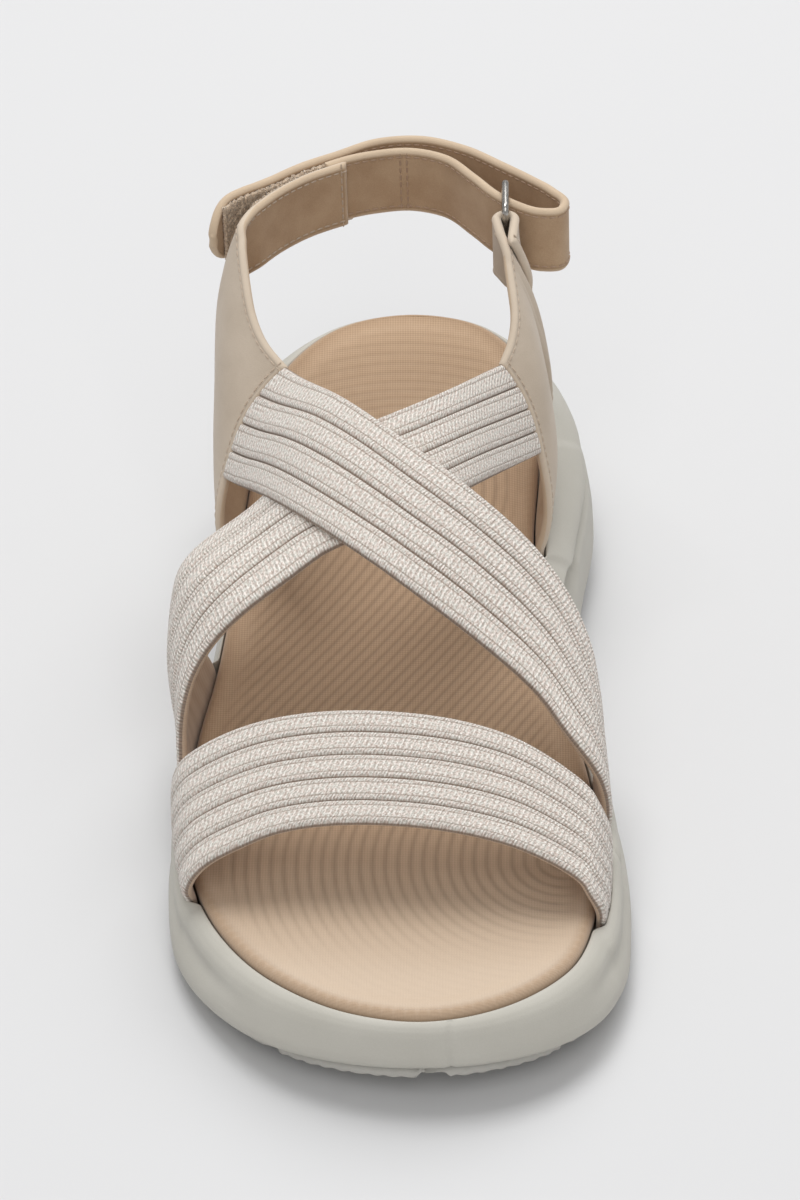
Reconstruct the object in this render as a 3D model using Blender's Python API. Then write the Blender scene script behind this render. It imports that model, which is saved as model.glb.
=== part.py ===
"""Cross strap sandal for the right foot, women's size 38.

Sizes are in millimetres and are turned into metres when a mesh is made. X points to the
medial side (the big toe), Y to the heel and Z up. The origin lies on the floor under the
middle of the sole. The straps and quarters follow one foot form, the last.
"""
import math

import bmesh
import bpy
import numpy as np

MM = 0.001
GAP = 0.3            # clearance between pieces that touch on the real sandal

# Sole
RING_POINTS = 96     # points round the sole's outline, half of them on each side
OUTSOLE_THICK = 3.0
LUG_PITCH = 17.0
GROOVE_WIDTH = 3.0
GROOVE_DEPTH = 1.4
FLEX_GROOVE = 3.4    # half width of the long groove at the toe
POCKET_DEPTH = 5.5   # the insole's seat below the rim
SLOT_WIDTH = 3.2     # where a strap goes down beside the insole
SLOT_END = 5.5       # how far a slot runs on past the strap in it
RIM_STEP = 1.5       # the rim lies this much below the insole's edge

# Upper
WEBBING_THICK = 2.2
RIB_HEIGHT = 0.5
FRONT_RIBS = 5
CROSSING_RIBS = 4
CROSSING_LIFT = 1.5  # the upper strap rides over the lower one, and is joined to it
SEAM_LOW = {"lateral": 51.5, "medial": 55.5}  # the crossing straps' front corners at their quarters
SEAM_GAP = 0.9       # between a crossing strap's end and its quarter
SEAM_DRAWN = 0.62    # from this share of its length on, a strap leaves the last for its seam
SEAM_ARCH = 1.4      # how strongly it keeps the last's direction on its way there
PRESS_REACH = 28.0   # the lower strap is pressed down to this far beside the upper one
PRESS_BLUR = 5.0
LEATHER_THICK = 2.0
STRAP_BOTTOM = 81.0
STRAP_TOP = 99.0
PAD_THICK = 1.0

# Ring
WIRE_RADIUS = 0.9
RING_X = 27.0
RING_FRONT_Y = 81.5
RING_REAR_Y = 93.3
RING_LOW_Z = 79.4
RING_HIGH_Z = 100.6

# Outline of the sole where it is widest: x, y from the toe tip round the lateral side
SOLE_LATERAL = [(5, -127.8), (-12, -124.5), (-28.5, -115.5), (-41, -101.5), (-49.5, -84),
                (-52.4, -62), (-51, -35), (-46.5, -5), (-43, 28), (-43.5, 62), (-42.5, 90),
                (-33.5, 113), (-17, 124.8), (2, 127.8)]
SOLE_MEDIAL = [(20, 124.8), (36, 113), (45, 94), (47.2, 72), (44.2, 47), (42, 22), (43.5, 0),
               (48.5, -27), (52.8, -52), (53.7, -76), (52, -94), (46.5, -108), (36, -119.3), (22, -126)]
# Outline of the insole
INSOLE_LATERAL = [(7, -123.1), (-10, -119.4), (-26.5, -107.6), (-39.5, -88.7), (-45.4, -72),
                  (-48, -49), (-46.6, -24), (-42.4, 0), (-38.8, 32), (-36.2, 60), (-33.5, 87),
                  (-27, 105), (-14.5, 118.6), (4, 123.1)]
INSOLE_MEDIAL = [(20, 118), (30, 105), (34, 87), (34, 66), (32.6, 40), (35.8, 5), (41.5, -20),
                 (45.4, -42), (46.6, -62), (45.3, -86), (39.5, -104.4), (25, -118)]

# Heights along the foot
HEIGHT_COLUMNS = ("y", "sole bottom", "insole edge", "insole dish")
HEIGHTS = np.array([
    (-130, 9.5, 25.2, 1.6),
    (-116, 5.2, 24.4, 2.0),
    (-100, 1.9, 23.0, 2.0),
    (-85, 0.15, 22.2, 1.6),
    (-78, 0.0, 22.0, 1.4),
    (-50, 0.0, 22.0, 1.2),
    (-25, 0.0, 23.4, 1.2),
    (-12, 0.5, 24.8, 1.4),
    (10, 1.8, 28.0, 2.0),
    (34, 0.5, 31.8, 2.8),
    (46, 0.0, 33.5, 3.2),
    (75, 0.0, 37.6, 4.0),
    (103, 0.0, 40.8, 4.0),
    (118, 1.6, 41.8, 3.6),
    (131, 4.5, 42.3, 3.2),
], float)

# The last: height of its top, and how far it swells to each side
LAST_COLUMNS = ("y", "top", "lateral x", "medial x")
LAST = np.array([
    (-100, 32.0, -42.5, 44.5),
    (-80, 40.0, -46.0, 47.2),
    (-65, 46.0, -48.2, 48.0),
    (-50, 52.0, -49.2, 47.2),
    (-32, 60.0, -48.2, 46.0),
    (-10, 69.5, -51.0, 45.4),
    (8, 77.0, -49.6, 42.8),
    (30, 84.0, -43.0, 38.6),
    (50, 88.5, -39.5, 37.0),
    (70, 92.0, -39.5, 36.0),
], float)
LAST_SQUARENESS = 2.35
WIDEST_SHARE = 0.33  # the last is widest at this share of its height
SLOT_SHARE = 0.55    # of a strap's way down from the widest place, the rest is in its slot
SLOT_SUNK = 5.1      # how far a strap's end goes down in its slot

# Webbing straps on the last. Round the foot 0 is the medial side, 90 the top and 180 the
# lateral side, and -90 and 270 are the strap's ends in the slots beside the insole.
# Columns: front y, front round, rear y, rear round
FRONT_STRAP = [(-87.0, -88, -62.0, -88), (-87.5, -45, -62.5, -45), (-89.0, 0, -63.5, 0),
               (-86.0, 30, -60.5, 30), (-81.0, 60, -54.0, 60), (-77.7, 90, -50.5, 90),
               (-77.5, 120, -49.5, 120), (-80.0, 145, -49.5, 150), (-80.0, 180, -47.0, 180),
               (-77.0, 225, -44.5, 225), (-76.0, 268, -44.0, 268)]
OVER_STRAP = [(-57.5, -88, -41.5, -88), (-57.0, -45, -38.5, -45), (-55.5, 0, -30.0, 0),
              (-51.5, 33, -18.5, 22), (-42.5, 48, -8.5, 41), (-32.5, 67, 1.5, 64),
              (-21.5, 87, 11.5, 82), (-12.0, 101, 21.0, 97), (-3.0, 113, 29.0, 109),
              (9.0, 127, 37.5, 121), (21.0, 141, 45.0, 128), (38.5, 160, 49.2, 132.5)]
UNDER_STRAP = [(-40.0, 268, 1.0, 268), (-38.0, 225, 2.0, 225), (-33.5, 180, 4.0, 180),
               (-26.5, 150, 6.5, 156), (-21.5, 130, 9.5, 137), (-17.5, 113, 14.5, 116),
               (-12.0, 101, 20.5, 97), (-4.0, 84, 26.5, 81), (5.5, 65, 34.5, 66),
               (20.5, 44, 42.5, 54), (44.0, 24.5, 49.2, 44.5)]
SLOTS = [("lateral", -77, -43), ("lateral", -41, 2), ("lateral", 33, 78),
         ("medial", -88, -61), ("medial", -58.5, -40.5), ("medial", 36, 73)]

# Quarters as rows from the seam to the heel: the row's lower end and its top end, and how
# far it swells outwards between them. A lower z of 0 stands for the bottom of the slot.
# Columns: low x, low y, low z, top x, top y, top z, swell
LATERAL_QUARTER = [(-39, 34, 0, -25.0, 50.5, 77.0, -7.0), (-39, 45, 0, -30.0, 55.5, 81.0, -7.2),
                   (-38, 55, 0, -32.8, 61, 85.3, -7.2), (-37, 64, 0, -34.2, 67, 90.0, -7.0),
                   (-36, 70.5, 0, -34.9, 71.5, 93.4, -6.8), (-40.2, 77.5, 56, -35.3, 76.5, 96.5, -3.8),
                   (-39.8, 82.5, 75, -35.3, 81, 98.6, -0.8), (-35.2, 86.5, 80.6, -33.4, 86, 99, -0.2)]
MEDIAL_QUARTER = [(34, 37, 0, 25.0, 50.5, 77.0, 4.8), (34, 46, 0, 27.3, 55.0, 80.8, 5.6),
                  (35, 55, 0, 28.2, 60.0, 84.8, 5.2), (35, 62, 0, 27.9, 64.0, 88.0, 4.4),
                  (35, 67.5, 0, 27.4, 67.5, 90.6, 3.8), (36.4, 70.5, 56, 27.0, 70.5, 92.6, 1.6),
                  (31.2, 74.0, 79.0, 26.3, 74.0, 95.2, 0.6), (26.3, 78.0, 81.3, 25.4, 78.0, 97.6, 0.0)]

# The heel strap's way round, x and y of its middle seen from above
BACK_PATH = [(-33.4, 86.2), (-28.2, 93.0), (-20.5, 100.0), (-11.5, 105.2)]
STRAP_PATH = [(-10.6, 106.6), (-4, 109.2), (3.5, 110.6), (12.0, 107.6), (19.5, 98.6), (24.5, 91.6),
              (29.5, 86.8), (35.5, 83.6), (40.0, 84.0), (41.2, 87.5), (38.2, 92.4), (32.5, 98.2),
              (26.5, 103.6), (17.0, 111.4), (6.5, 115.8), (-4.0, 115.0), (-12.4, 110.8)]
RUN_SPACE = 5.0      # between the middles of the two runs where they are fastened
TIP_Y = 82.5         # the outer run's free end on the lateral side
TIP_FLARE = 4.4      # the free end stands off this much further

COLOURS = {
    "rubber": ((0.50, 0.485, 0.45, 1), 0.72, 0.0),
    "foam": ((0.52, 0.505, 0.47, 1), 0.62, 0.0),
    "footbed": ((0.56, 0.42, 0.30, 1), 0.85, 0.0),
    "webbing": ((0.55, 0.49, 0.43, 1), 0.88, 0.0),
    "nubuck": ((0.50, 0.41, 0.31, 1), 0.70, 0.0),
    "fastener": ((0.52, 0.45, 0.37, 1), 0.95, 0.0),
    "nickel": ((0.72, 0.71, 0.69, 1), 0.22, 1.0),
}


def smooth(knots, values, at):
    """A smooth curve through the values at the knots, read at the given places."""
    knots = np.asarray(knots, float)
    values = np.asarray(values, float)
    at = np.clip(np.asarray(at, float), knots[0], knots[-1])
    slopes = np.gradient(values, knots)
    i = np.clip(np.searchsorted(knots, at) - 1, 0, len(knots) - 2)
    span = knots[i + 1] - knots[i]
    t = (at - knots[i]) / span
    return ((2 * t**3 - 3 * t**2 + 1) * values[i] + (t**3 - 2 * t**2 + t) * span * slopes[i]
            + (3 * t**2 - 2 * t**3) * values[i + 1] + (t**3 - t**2) * span * slopes[i + 1])


def column(table, columns, name, at):
    """One named column of a table, read along its first column."""
    return smooth(table[:, 0], table[:, columns.index(name)], at)


def path_through(points, shares):
    """Points on a smooth path, at shares of its length from 0 to 1."""
    points = np.asarray(points, float)
    steps = np.linalg.norm(np.diff(points, axis=0), axis=1)
    knots = np.concatenate([[0], np.cumsum(steps)])
    at = np.asarray(shares) * knots[-1]
    return np.stack([smooth(knots, points[:, k], at) for k in range(points.shape[1])], axis=-1)


def closed_outline(lateral, medial):
    """Outline from the toe tip round the lateral side to the heel and back, evenly spaced a side."""
    loop = np.array(lateral + medial, float)
    wrap = 3
    around = np.concatenate([loop[-wrap:], loop, loop[:wrap + 1]])
    steps = np.linalg.norm(np.diff(around, axis=0), axis=1)
    knots = np.concatenate([[0], np.cumsum(steps)])
    turns = [(wrap, wrap + len(lateral) - 1), (wrap + len(lateral) - 1, wrap + len(loop))]
    sides = []
    for first, last in turns:
        fine = np.linspace(knots[first], knots[last], 1500)
        line = np.stack([smooth(knots, around[:, k], fine) for k in (0, 1)], axis=-1)
        lengths = np.concatenate([[0], np.cumsum(np.linalg.norm(np.diff(line, axis=0), axis=1))])
        even = np.linspace(0, lengths[-1], RING_POINTS // 2 + 1)
        sides.append(np.stack([np.interp(even, lengths, line[:, k]) for k in (0, 1)], axis=-1)[:-1])
    return np.concatenate(sides)


def pushed(outline, distance):
    """The outline moved outwards by a distance, which may differ round it."""
    tangent = np.roll(outline, -1, axis=0) - np.roll(outline, 1, axis=0)
    tangent /= np.linalg.norm(tangent, axis=1, keepdims=True)
    outward = np.stack([-tangent[:, 1], tangent[:, 0]], axis=-1)
    return outline + outward * np.broadcast_to(distance, len(outline))[:, None]


SOLE = closed_outline(SOLE_LATERAL, SOLE_MEDIAL)
INSOLE = closed_outline(INSOLE_LATERAL, INSOLE_MEDIAL)


def edge_x(outline, side, y):
    """Where an outline's lateral or medial side lies at y."""
    half = RING_POINTS // 2
    points = outline[:half + 1] if side == "lateral" else np.roll(outline, -half, axis=0)[:half + 1][::-1]
    return np.interp(y, points[:, 1], points[:, 0])


def sole_bottom(y):
    return np.maximum(column(HEIGHTS, HEIGHT_COLUMNS, "sole bottom", y), 0)


def insole_edge(y):
    return column(HEIGHTS, HEIGHT_COLUMNS, "insole edge", y)


def rim_height(y):
    return insole_edge(y) - RIM_STEP


def fade(value, low, high):
    """0 below low, 1 above high and a soft step between."""
    t = np.clip((np.asarray(value, float) - low) / (high - low), 0, 1)
    return t * t * (3 - 2 * t)


class Mesh:
    """Points and faces of one solid, gathered before Blender gets them."""

    def __init__(self):
        self.points = []
        self.faces = []

    def add(self, points):
        start = len(self.points)
        self.points.extend(map(tuple, np.asarray(points, float).reshape(-1, 3)))
        return np.arange(start, len(self.points))

    def bridge(self, one, two, closed=False):
        """Quads between two rows of points."""
        count = len(one)
        for i in range(count if closed else count - 1):
            j = (i + 1) % count
            self.faces.append((one[i], one[j], two[j], two[i]))

    def cap(self, ring, columns, height):
        """Fills a ring of the sole with rows from side to side, at height(point, share across)."""
        half = len(ring) // 2
        rows = []
        for i in range(1, half):
            left = np.array(self.points[ring[i]])
            right = np.array(self.points[ring[len(ring) - i]])
            shares = np.arange(1, columns) / columns
            inner = left + (right - left) * shares[:, None]
            inner[:, 2] = height(inner, shares)
            rows.append(np.concatenate([[ring[i]], self.add(inner), [ring[len(ring) - i]]]))
        for first, second in zip(rows, rows[1:]):
            self.bridge(first, second)
        for tip, row in ((ring[0], rows[0]), (ring[half], rows[-1])):
            for a, b in zip(row, row[1:]):
                self.faces.append((tip, a, b))

    def wall(self, inner, outer):
        """Closes two matching grids of points, an inner and an outer skin, into one solid."""
        rows, count = inner.shape[:2]
        a = self.add(inner).reshape(rows, count)
        b = self.add(outer).reshape(rows, count)
        for i in range(rows - 1):
            self.bridge(a[i], a[i + 1])
            self.bridge(b[i + 1], b[i])
            self.faces.append((a[i, 0], a[i + 1, 0], b[i + 1, 0], b[i, 0]))
            self.faces.append((a[i, -1], b[i, -1], b[i + 1, -1], a[i + 1, -1]))
        self.bridge(a[0], b[0])
        self.bridge(b[-1], a[-1])

    def build(self, name, finish, crease=40):
        mesh = bpy.data.meshes.new(name)
        mesh.from_pydata([tuple(c * MM for c in p) for p in self.points], [],
                         [tuple(int(i) for i in face) for face in self.faces])
        work = bmesh.new()
        work.from_mesh(mesh)
        bmesh.ops.triangulate(work, faces=work.faces[:])
        bmesh.ops.recalc_face_normals(work, faces=work.faces[:])
        work.to_mesh(mesh)
        work.free()
        mesh.shade_smooth()
        mesh.set_sharp_from_angle(angle=math.radians(crease))
        mesh.materials.append(material(finish))
        body = bpy.data.objects.new(name, mesh)
        bpy.context.collection.objects.link(body)
        return body


def material(finish):
    if finish in bpy.data.materials:
        return bpy.data.materials[finish]
    colour, roughness, metallic = COLOURS[finish]
    made = bpy.data.materials.new(finish)
    made.use_nodes = True
    shader = made.node_tree.nodes["Principled BSDF"]
    shader.inputs["Base Color"].default_value = colour
    shader.inputs["Roughness"].default_value = roughness
    shader.inputs["Metallic"].default_value = metallic
    return made


# Midsole: one moulded foam body with a rim, a waist, a long scoop in each side and a pocket

# Rings from the bottom edge to the rim: share of the wall's height, share of the way in
# from the widest outline to the pocket
WALL_RINGS = [(0.00, 0.55), (0.04, 0.26), (0.12, 0.07), (0.26, 0.0), (0.36, 0.03), (0.42, 0.07),
              (0.48, 0.11), (0.56, 0.17), (0.66, 0.25), (0.78, 0.36), (0.90, 0.53), (0.98, 0.76)]
SCOOP_DEPTH = 5.0
SCOOP_LEVEL = 0.42
SCOOP_HEIGHT = 0.085
SCOOP_REAR_Y = 48.0
SCOOP_FRONT_Y = -42.0
WAIST_DEPTH = 1.3
WAIST_LEVEL = 0.68
WAIST_HEIGHT = 0.09


def slot_mask(outline):
    """1 where a strap or quarter goes down beside the insole."""
    half = RING_POINTS // 2
    inside = np.zeros(len(outline))
    for side, front, rear in SLOTS:
        on_side = np.arange(len(outline)) <= half if side == "lateral" else np.arange(len(outline)) > half
        reach = (outline[:, 1] > front - SLOT_END) & (outline[:, 1] < rear + SLOT_END) & on_side
        inside[reach] = 1
    return inside


def side_carving(y, level):
    """How far the foam wall lies inside its plain form: the scoop and the waist."""
    rear = 1 - fade(y, SCOOP_REAR_Y - 7, SCOOP_REAR_Y + 1)
    front = fade(y, SCOOP_FRONT_Y, SCOOP_FRONT_Y + 48)
    scoop = SCOOP_DEPTH * rear * front * np.exp(-((level - SCOOP_LEVEL) / SCOOP_HEIGHT) ** 2)
    crease = 1.0 * (1 - front) * fade(y, -112, -92) * np.exp(-((level - 0.62) / 0.14) ** 2)
    waist = WAIST_DEPTH * fade(y, 18, 50) * np.exp(-((level - WAIST_LEVEL) / WAIST_HEIGHT) ** 2)
    return scoop + crease + waist


def make_midsole():
    body = Mesh()
    pocket = pushed(INSOLE, GAP + (SLOT_WIDTH - GAP) * slot_mask(INSOLE))
    low = sole_bottom(SOLE[:, 1]) + OUTSOLE_THICK + GAP
    high = rim_height(INSOLE[:, 1])
    rings = []
    for level, inward in WALL_RINGS:
        lean = 1 - 0.5 * fade(SOLE[:, 1], -40, 60) * (1 - fade(level, 0.75, 1.0))
        plain = SOLE + (pocket - SOLE) * (inward * lean)[:, None]
        carved = pushed(plain, -side_carving(plain[:, 1], level))
        heights = low + (high - low) * level
        rings.append(body.add(np.column_stack([carved, heights])))
    rings.append(body.add(np.column_stack([pocket + (SOLE - pocket) * 0.08, high])))
    rings.append(body.add(np.column_stack([pocket, high - 0.4])))
    rings.append(body.add(np.column_stack([pocket, high - POCKET_DEPTH])))
    for one, two in zip(rings, rings[1:]):
        body.bridge(one, two, closed=True)
    body.cap(rings[0], 2, lambda p, share: sole_bottom(p[:, 1]) + OUTSOLE_THICK + GAP)
    body.cap(rings[-1], 2, lambda p, share: rim_height(p[:, 1]) - POCKET_DEPTH)
    return body.build("midsole", "foam")


# Insole: a padded footbed with rounded edges, dished under the heel and the toes

INSOLE_ROUND = [(0.0, 1.7), (0.35, 0.75), (1.3, 0.12)]  # how far in from the edge, how far below its top
DISH_COLUMNS = 6


def dish(points, share):
    """The footbed's hollow: deepest in the middle, nothing at its edge."""
    depth = column(HEIGHTS, HEIGHT_COLUMNS, "insole dish", points[:, 1])
    ends = fade(points[:, 1], -123, -100) * (1 - fade(points[:, 1], 98, 123))
    return insole_edge(points[:, 1]) - depth * ends * np.sin(math.pi * share) ** 0.8


def make_insole():
    body = Mesh()
    floor = rim_height(INSOLE[:, 1]) - POCKET_DEPTH + GAP
    rings = [body.add(np.column_stack([pushed(INSOLE, -0.4), floor]))]
    for inward, drop in INSOLE_ROUND:
        rings.append(body.add(np.column_stack([pushed(INSOLE, -inward), insole_edge(INSOLE[:, 1]) - drop])))
    for one, two in zip(rings, rings[1:]):
        body.bridge(one, two, closed=True)
    body.cap(rings[0], 2, lambda p, share: rim_height(p[:, 1]) - POCKET_DEPTH + GAP)
    body.cap(rings[-1], DISH_COLUMNS, dish)
    return body.build("insole", "footbed")


# Outsole: a thin rubber tread with bars across it and a long groove at the toe

OUTSOLE_INSET = 0.55
FIRST_GROOVE_Y = -110.5
GROOVES = 14
RAMP = 0.35          # a groove's sides lean this much


def make_outsole():
    body = Mesh()
    lean = 1 - 0.5 * fade(SOLE[:, 1], -40, 60)
    outline = SOLE + (INSOLE - SOLE) * ((OUTSOLE_INSET - 0.06) * lean)[:, None]
    toe, heel = outline[:, 1].min(), outline[:, 1].max()
    stations = [(toe + d, 0) for d in (0.5, 2.2, 5.0, 9.0)] + [(heel - d, 0) for d in (0.5, 2.2, 5.0, 9.0)]
    for k in range(GROOVES):
        middle = FIRST_GROOVE_Y + LUG_PITCH * k
        half = GROOVE_WIDTH / 2
        stations += [(middle - half - RAMP, 0), (middle - half, 1), (middle + half, 1), (middle + half + RAMP, 0)]
    stations = np.array(sorted(stations))
    y, cut = stations[:, 0], stations[:, 1]
    left, right = edge_x(outline, "lateral", y), edge_x(outline, "medial", y)
    centre = np.interp(y, [toe, heel], [9.0, 2.0])
    flex = np.array([-FLEX_GROOVE - RAMP, -FLEX_GROOVE, FLEX_GROOVE, FLEX_GROOVE + RAMP])
    across = np.column_stack([left, centre[:, None] + flex, right])
    toe_groove = 1 - fade(y, -62, -55)
    depth = np.repeat(cut[:, None], across.shape[1], axis=1)
    depth[:, 2:4] = np.maximum(depth[:, 2:4], toe_groove[:, None])
    below = sole_bottom(y)[:, None] + GROOVE_DEPTH * depth
    above = np.repeat((sole_bottom(y) + OUTSOLE_THICK)[:, None], across.shape[1], axis=1)
    along = np.repeat(y[:, None], across.shape[1], axis=1)
    body.wall(np.stack([across, along, below], axis=-1), np.stack([across, along, above], axis=-1))
    return body.build("outsole", "rubber")


# The last that the straps are pulled over


def last_point(y, around):
    """A point of the last: an arch over the foot, and S-shaped sides down into the slots."""
    y, around = np.broadcast_arrays(np.asarray(y, float), np.asarray(around, float))
    base = rim_height(y) - POCKET_DEPTH + 0.4
    top = column(LAST, LAST_COLUMNS, "top", y)
    lateral = column(LAST, LAST_COLUMNS, "lateral x", y)
    medial = column(LAST, LAST_COLUMNS, "medial x", y)
    widest = base + WIDEST_SHARE * (top - base)
    angle = np.radians(np.clip(around, 0, 180))
    reach = (np.abs(np.cos(angle)) ** LAST_SQUARENESS
             + np.abs(np.sin(angle)) ** LAST_SQUARENESS) ** (-1 / LAST_SQUARENESS)
    x = reach * np.cos(angle) * np.where(around < 90, medial, -lateral)
    z = widest + (top - widest) * reach * np.sin(angle)
    down = np.clip(np.where(around < 90, -around, around - 180) / 90, 0, 1)
    slot = np.where(around < 90, edge_x(INSOLE, "medial", y) + GAP, edge_x(INSOLE, "lateral", y) - GAP)
    side = np.where(around < 90, medial, lateral)
    bend = np.clip(down / SLOT_SHARE, 0, 1)
    sunk = np.clip((down - SLOT_SHARE) / (1 - SLOT_SHARE), 0, 1)
    below = (around < 0) | (around > 180)
    x = np.where(below, slot + (side - slot) * (0.5 + 0.5 * np.cos(math.pi * bend)), x)
    mouth = base + SLOT_SUNK
    z = np.where(below, widest - (widest - mouth) * bend - SLOT_SUNK * sunk, z)
    return np.stack([x, y, z], axis=-1)


def last_normal(y, around):
    """Outward direction of the last, from points a little apart on it."""
    along = last_point(y + 0.5, around) - last_point(y - 0.5, around)
    across = last_point(y, around + 0.5) - last_point(y, around - 0.5)
    out = np.cross(across, along)
    out /= np.linalg.norm(out, axis=-1, keepdims=True)
    return out * np.sign((out * [1, 0, 1] * (last_point(y, around) - [0, 0, 20])).sum(-1, keepdims=True))


def rib_profile(ribs):
    """Places across the webbing and the rib's height there: flat tops between narrow grooves."""
    places, heights = [0.0], [-0.4]
    for rib in range(ribs):
        places += [(rib + 0.2) / ribs, (rib + 0.8) / ribs]
        heights += [1.0, 1.0]
        if rib < ribs - 1:
            places.append((rib + 1) / ribs)
            heights.append(0.0)
    return np.array(places + [1.0]), np.array(heights + [-0.4])


SLOT_COLUMNS = (0.0, 0.018, 0.036, 0.056, 0.08)


def to_seam(inner, shares, end):
    """A strap leaves the last along it and ends straight at its seam: a cubic from each point."""
    first = np.searchsorted(shares, SEAM_DRAWN)
    start = inner[first]
    chord = end - start
    leaving = start - inner[first - 1]
    length = np.linalg.norm(chord, axis=-1, keepdims=True)
    leaving *= SEAM_ARCH * length / np.linalg.norm(leaving, axis=-1, keepdims=True)
    t = ((shares[first:] - shares[first]) / (1 - shares[first]))[:, None, None]
    drawn = ((2 * t**3 - 3 * t**2 + 1) * start + (t**3 - 2 * t**2 + t) * leaving
             + (3 * t**2 - 2 * t**3) * end + (t**3 - t**2) * chord)
    return np.concatenate([inner[:first], drawn])


def pressed(points, places, shifts):
    """How far the strap that lies above, at places on the last, carries these points with it:
    the mean of its own shifts close by, weighted by exp(-(distance / PRESS_BLUR)^2)."""
    away = np.linalg.norm(points[:, :, None] - places.reshape(-1, 3), axis=-1)
    near = away.min(axis=-1, keepdims=True)
    weight = np.exp((near / PRESS_BLUR) ** 2 - (away / PRESS_BLUR) ** 2)
    mean = (weight @ shifts.reshape(-1, 3)) / weight.sum(axis=-1, keepdims=True)
    return mean * (1 - fade(near, 0, PRESS_REACH))


def strap_mesh(rows, columns, ribs, slots=(0,), lift=None, seam=None, above=None):
    """A webbing strap: an inner and a ribbed outer skin over the last. Each end that stands in
    a slot, 0 or 1, gets closer columns there. An end with a seam is drawn on to its line.
    Above holds the places on the last and the shifts of a strap that lies over this one."""
    rows = np.array(rows, float)
    shares = np.linspace(0, 1, columns)
    for end in slots:
        shares = np.concatenate([shares[np.abs(shares - end) > SLOT_COLUMNS[-1] + 0.02],
                                 np.abs(end - np.array(SLOT_COLUMNS))])
    shares = np.sort(shares)
    front_y, front_round, rear_y, rear_round = path_rows(rows, shares).T
    across, heights = rib_profile(ribs)
    y = front_y[:, None] + (rear_y - front_y)[:, None] * across
    around = front_round[:, None] + (rear_round - front_round)[:, None] * across
    in_slot = fade(np.maximum(-around, around - 180), 90 * SLOT_SHARE - 16, 90 * SLOT_SHARE - 4)
    raised = lift(y, around) if lift else 0
    places = last_point(y, around)
    out = last_normal(y, around)
    inner = places
    if seam is not None:
        line = np.stack([np.interp(across, np.linspace(0, 1, len(seam)), seam[:, k]) for k in range(3)], axis=-1)
        inner = to_seam(inner, shares, line - out[-1] * WEBBING_THICK / 2)
    if above is not None:
        inner = inner + pressed(places, *above)
    thick = WEBBING_THICK + RIB_HEIGHT * heights * (1 - in_slot)
    mesh = Mesh()
    mesh.wall(inner + out * np.broadcast_to(raised, y.shape)[..., None],
              inner + out * (raised + thick)[..., None])
    return mesh, (places, inner - places)


def path_rows(rows, shares):
    """Rows of a strap's table read at even shares of its middle line's length."""
    middle = last_point((rows[:, 0] + rows[:, 2]) / 2, (rows[:, 1] + rows[:, 3]) / 2)
    knots = np.concatenate([[0], np.cumsum(np.linalg.norm(np.diff(middle, axis=0), axis=1))])
    return np.stack([smooth(knots, rows[:, k], shares * knots[-1]) for k in range(rows.shape[1])], axis=-1)


def crossing_lift(y, around):
    """The upper strap rises over the lower one where the two cross."""
    point = last_point(y, around)
    away = np.hypot((point[..., 0] + 9) / 30, (point[..., 1] - 4) / 34)
    return CROSSING_LIFT * (1 - fade(away, 0.75, 1.25))


def seam_line(table, side):
    """Where a crossing strap is sewn to its quarter, from the strap's front edge to its rear."""
    edge = quarter_rows(table, side, np.linspace(0, 1, 3))[0]
    heights = np.linspace(SEAM_LOW[side], edge[-1, 2], 12)
    line = np.stack([np.interp(heights, edge[:, 2], edge[:, k]) for k in range(3)], axis=-1)
    line[:, 1] -= SEAM_GAP
    return line


def make_cross_straps():
    """The two crossing straps are one body, joined where they cross."""
    over, above = strap_mesh(OVER_STRAP, 21, CROSSING_RIBS, lift=crossing_lift,
                             seam=seam_line(LATERAL_QUARTER, "lateral"))
    over = over.build("cross_straps", "webbing")
    under, _ = strap_mesh(UNDER_STRAP, 19, CROSSING_RIBS, seam=seam_line(MEDIAL_QUARTER, "medial"), above=above)
    under = under.build("under_strap", "webbing")
    join = over.modifiers.new("join", "BOOLEAN")
    join.operation = "UNION"
    join.solver = "EXACT"
    join.object = under
    under.hide_render = True
    under.display_type = "WIRE"
    return over


def make_front_strap():
    strap, _ = strap_mesh(FRONT_STRAP, 17, FRONT_RIBS, slots=(0, 1))
    return strap.build("front_strap", "webbing")


# Quarters and heel strap: one wall of nubuck, standing up from the slots

LEVELS = np.linspace(0, 1, 7)
STRAIGHT = 3.0       # a band's lowest stretch is upright, and longer where it stands in a slot


def quarter_rows(table, side, fine):
    """Points of a quarter's middle surface: rows from the seam backwards, lower end to top."""
    table = np.column_stack([np.array(table, float), np.full(len(table), STRAIGHT)])
    outward = -1 if side == "lateral" else 1
    for row in table:
        if row[2] == 0:
            row[0] = edge_x(INSOLE, side, row[1]) + outward * (GAP + LEATHER_THICK / 2)
            row[2] = rim_height(row[1]) - SLOT_SUNK + 0.5
            row[7] = SLOT_SUNK + 0.1
    middle = table[:, :3] * 0.4 + table[:, 3:6] * 0.6
    knots = np.concatenate([[0], np.cumsum(np.linalg.norm(np.diff(middle, axis=0), axis=1))])
    rows = np.stack([smooth(knots, table[:, k], fine * knots[-1]) for k in range(8)], axis=-1)
    low, top, swell, straight = rows[:, None, 0:3], rows[:, None, 3:6], rows[:, 6], rows[:, 7]
    mouth = low + straight[:, None, None] * [0, 0, 1]
    line = mouth + (top - mouth) * LEVELS[None, :, None]
    line[..., 0] += swell[:, None] * (1 - np.abs(2 * LEVELS - 1) ** 3)
    return np.concatenate([low, line], axis=1)


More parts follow.
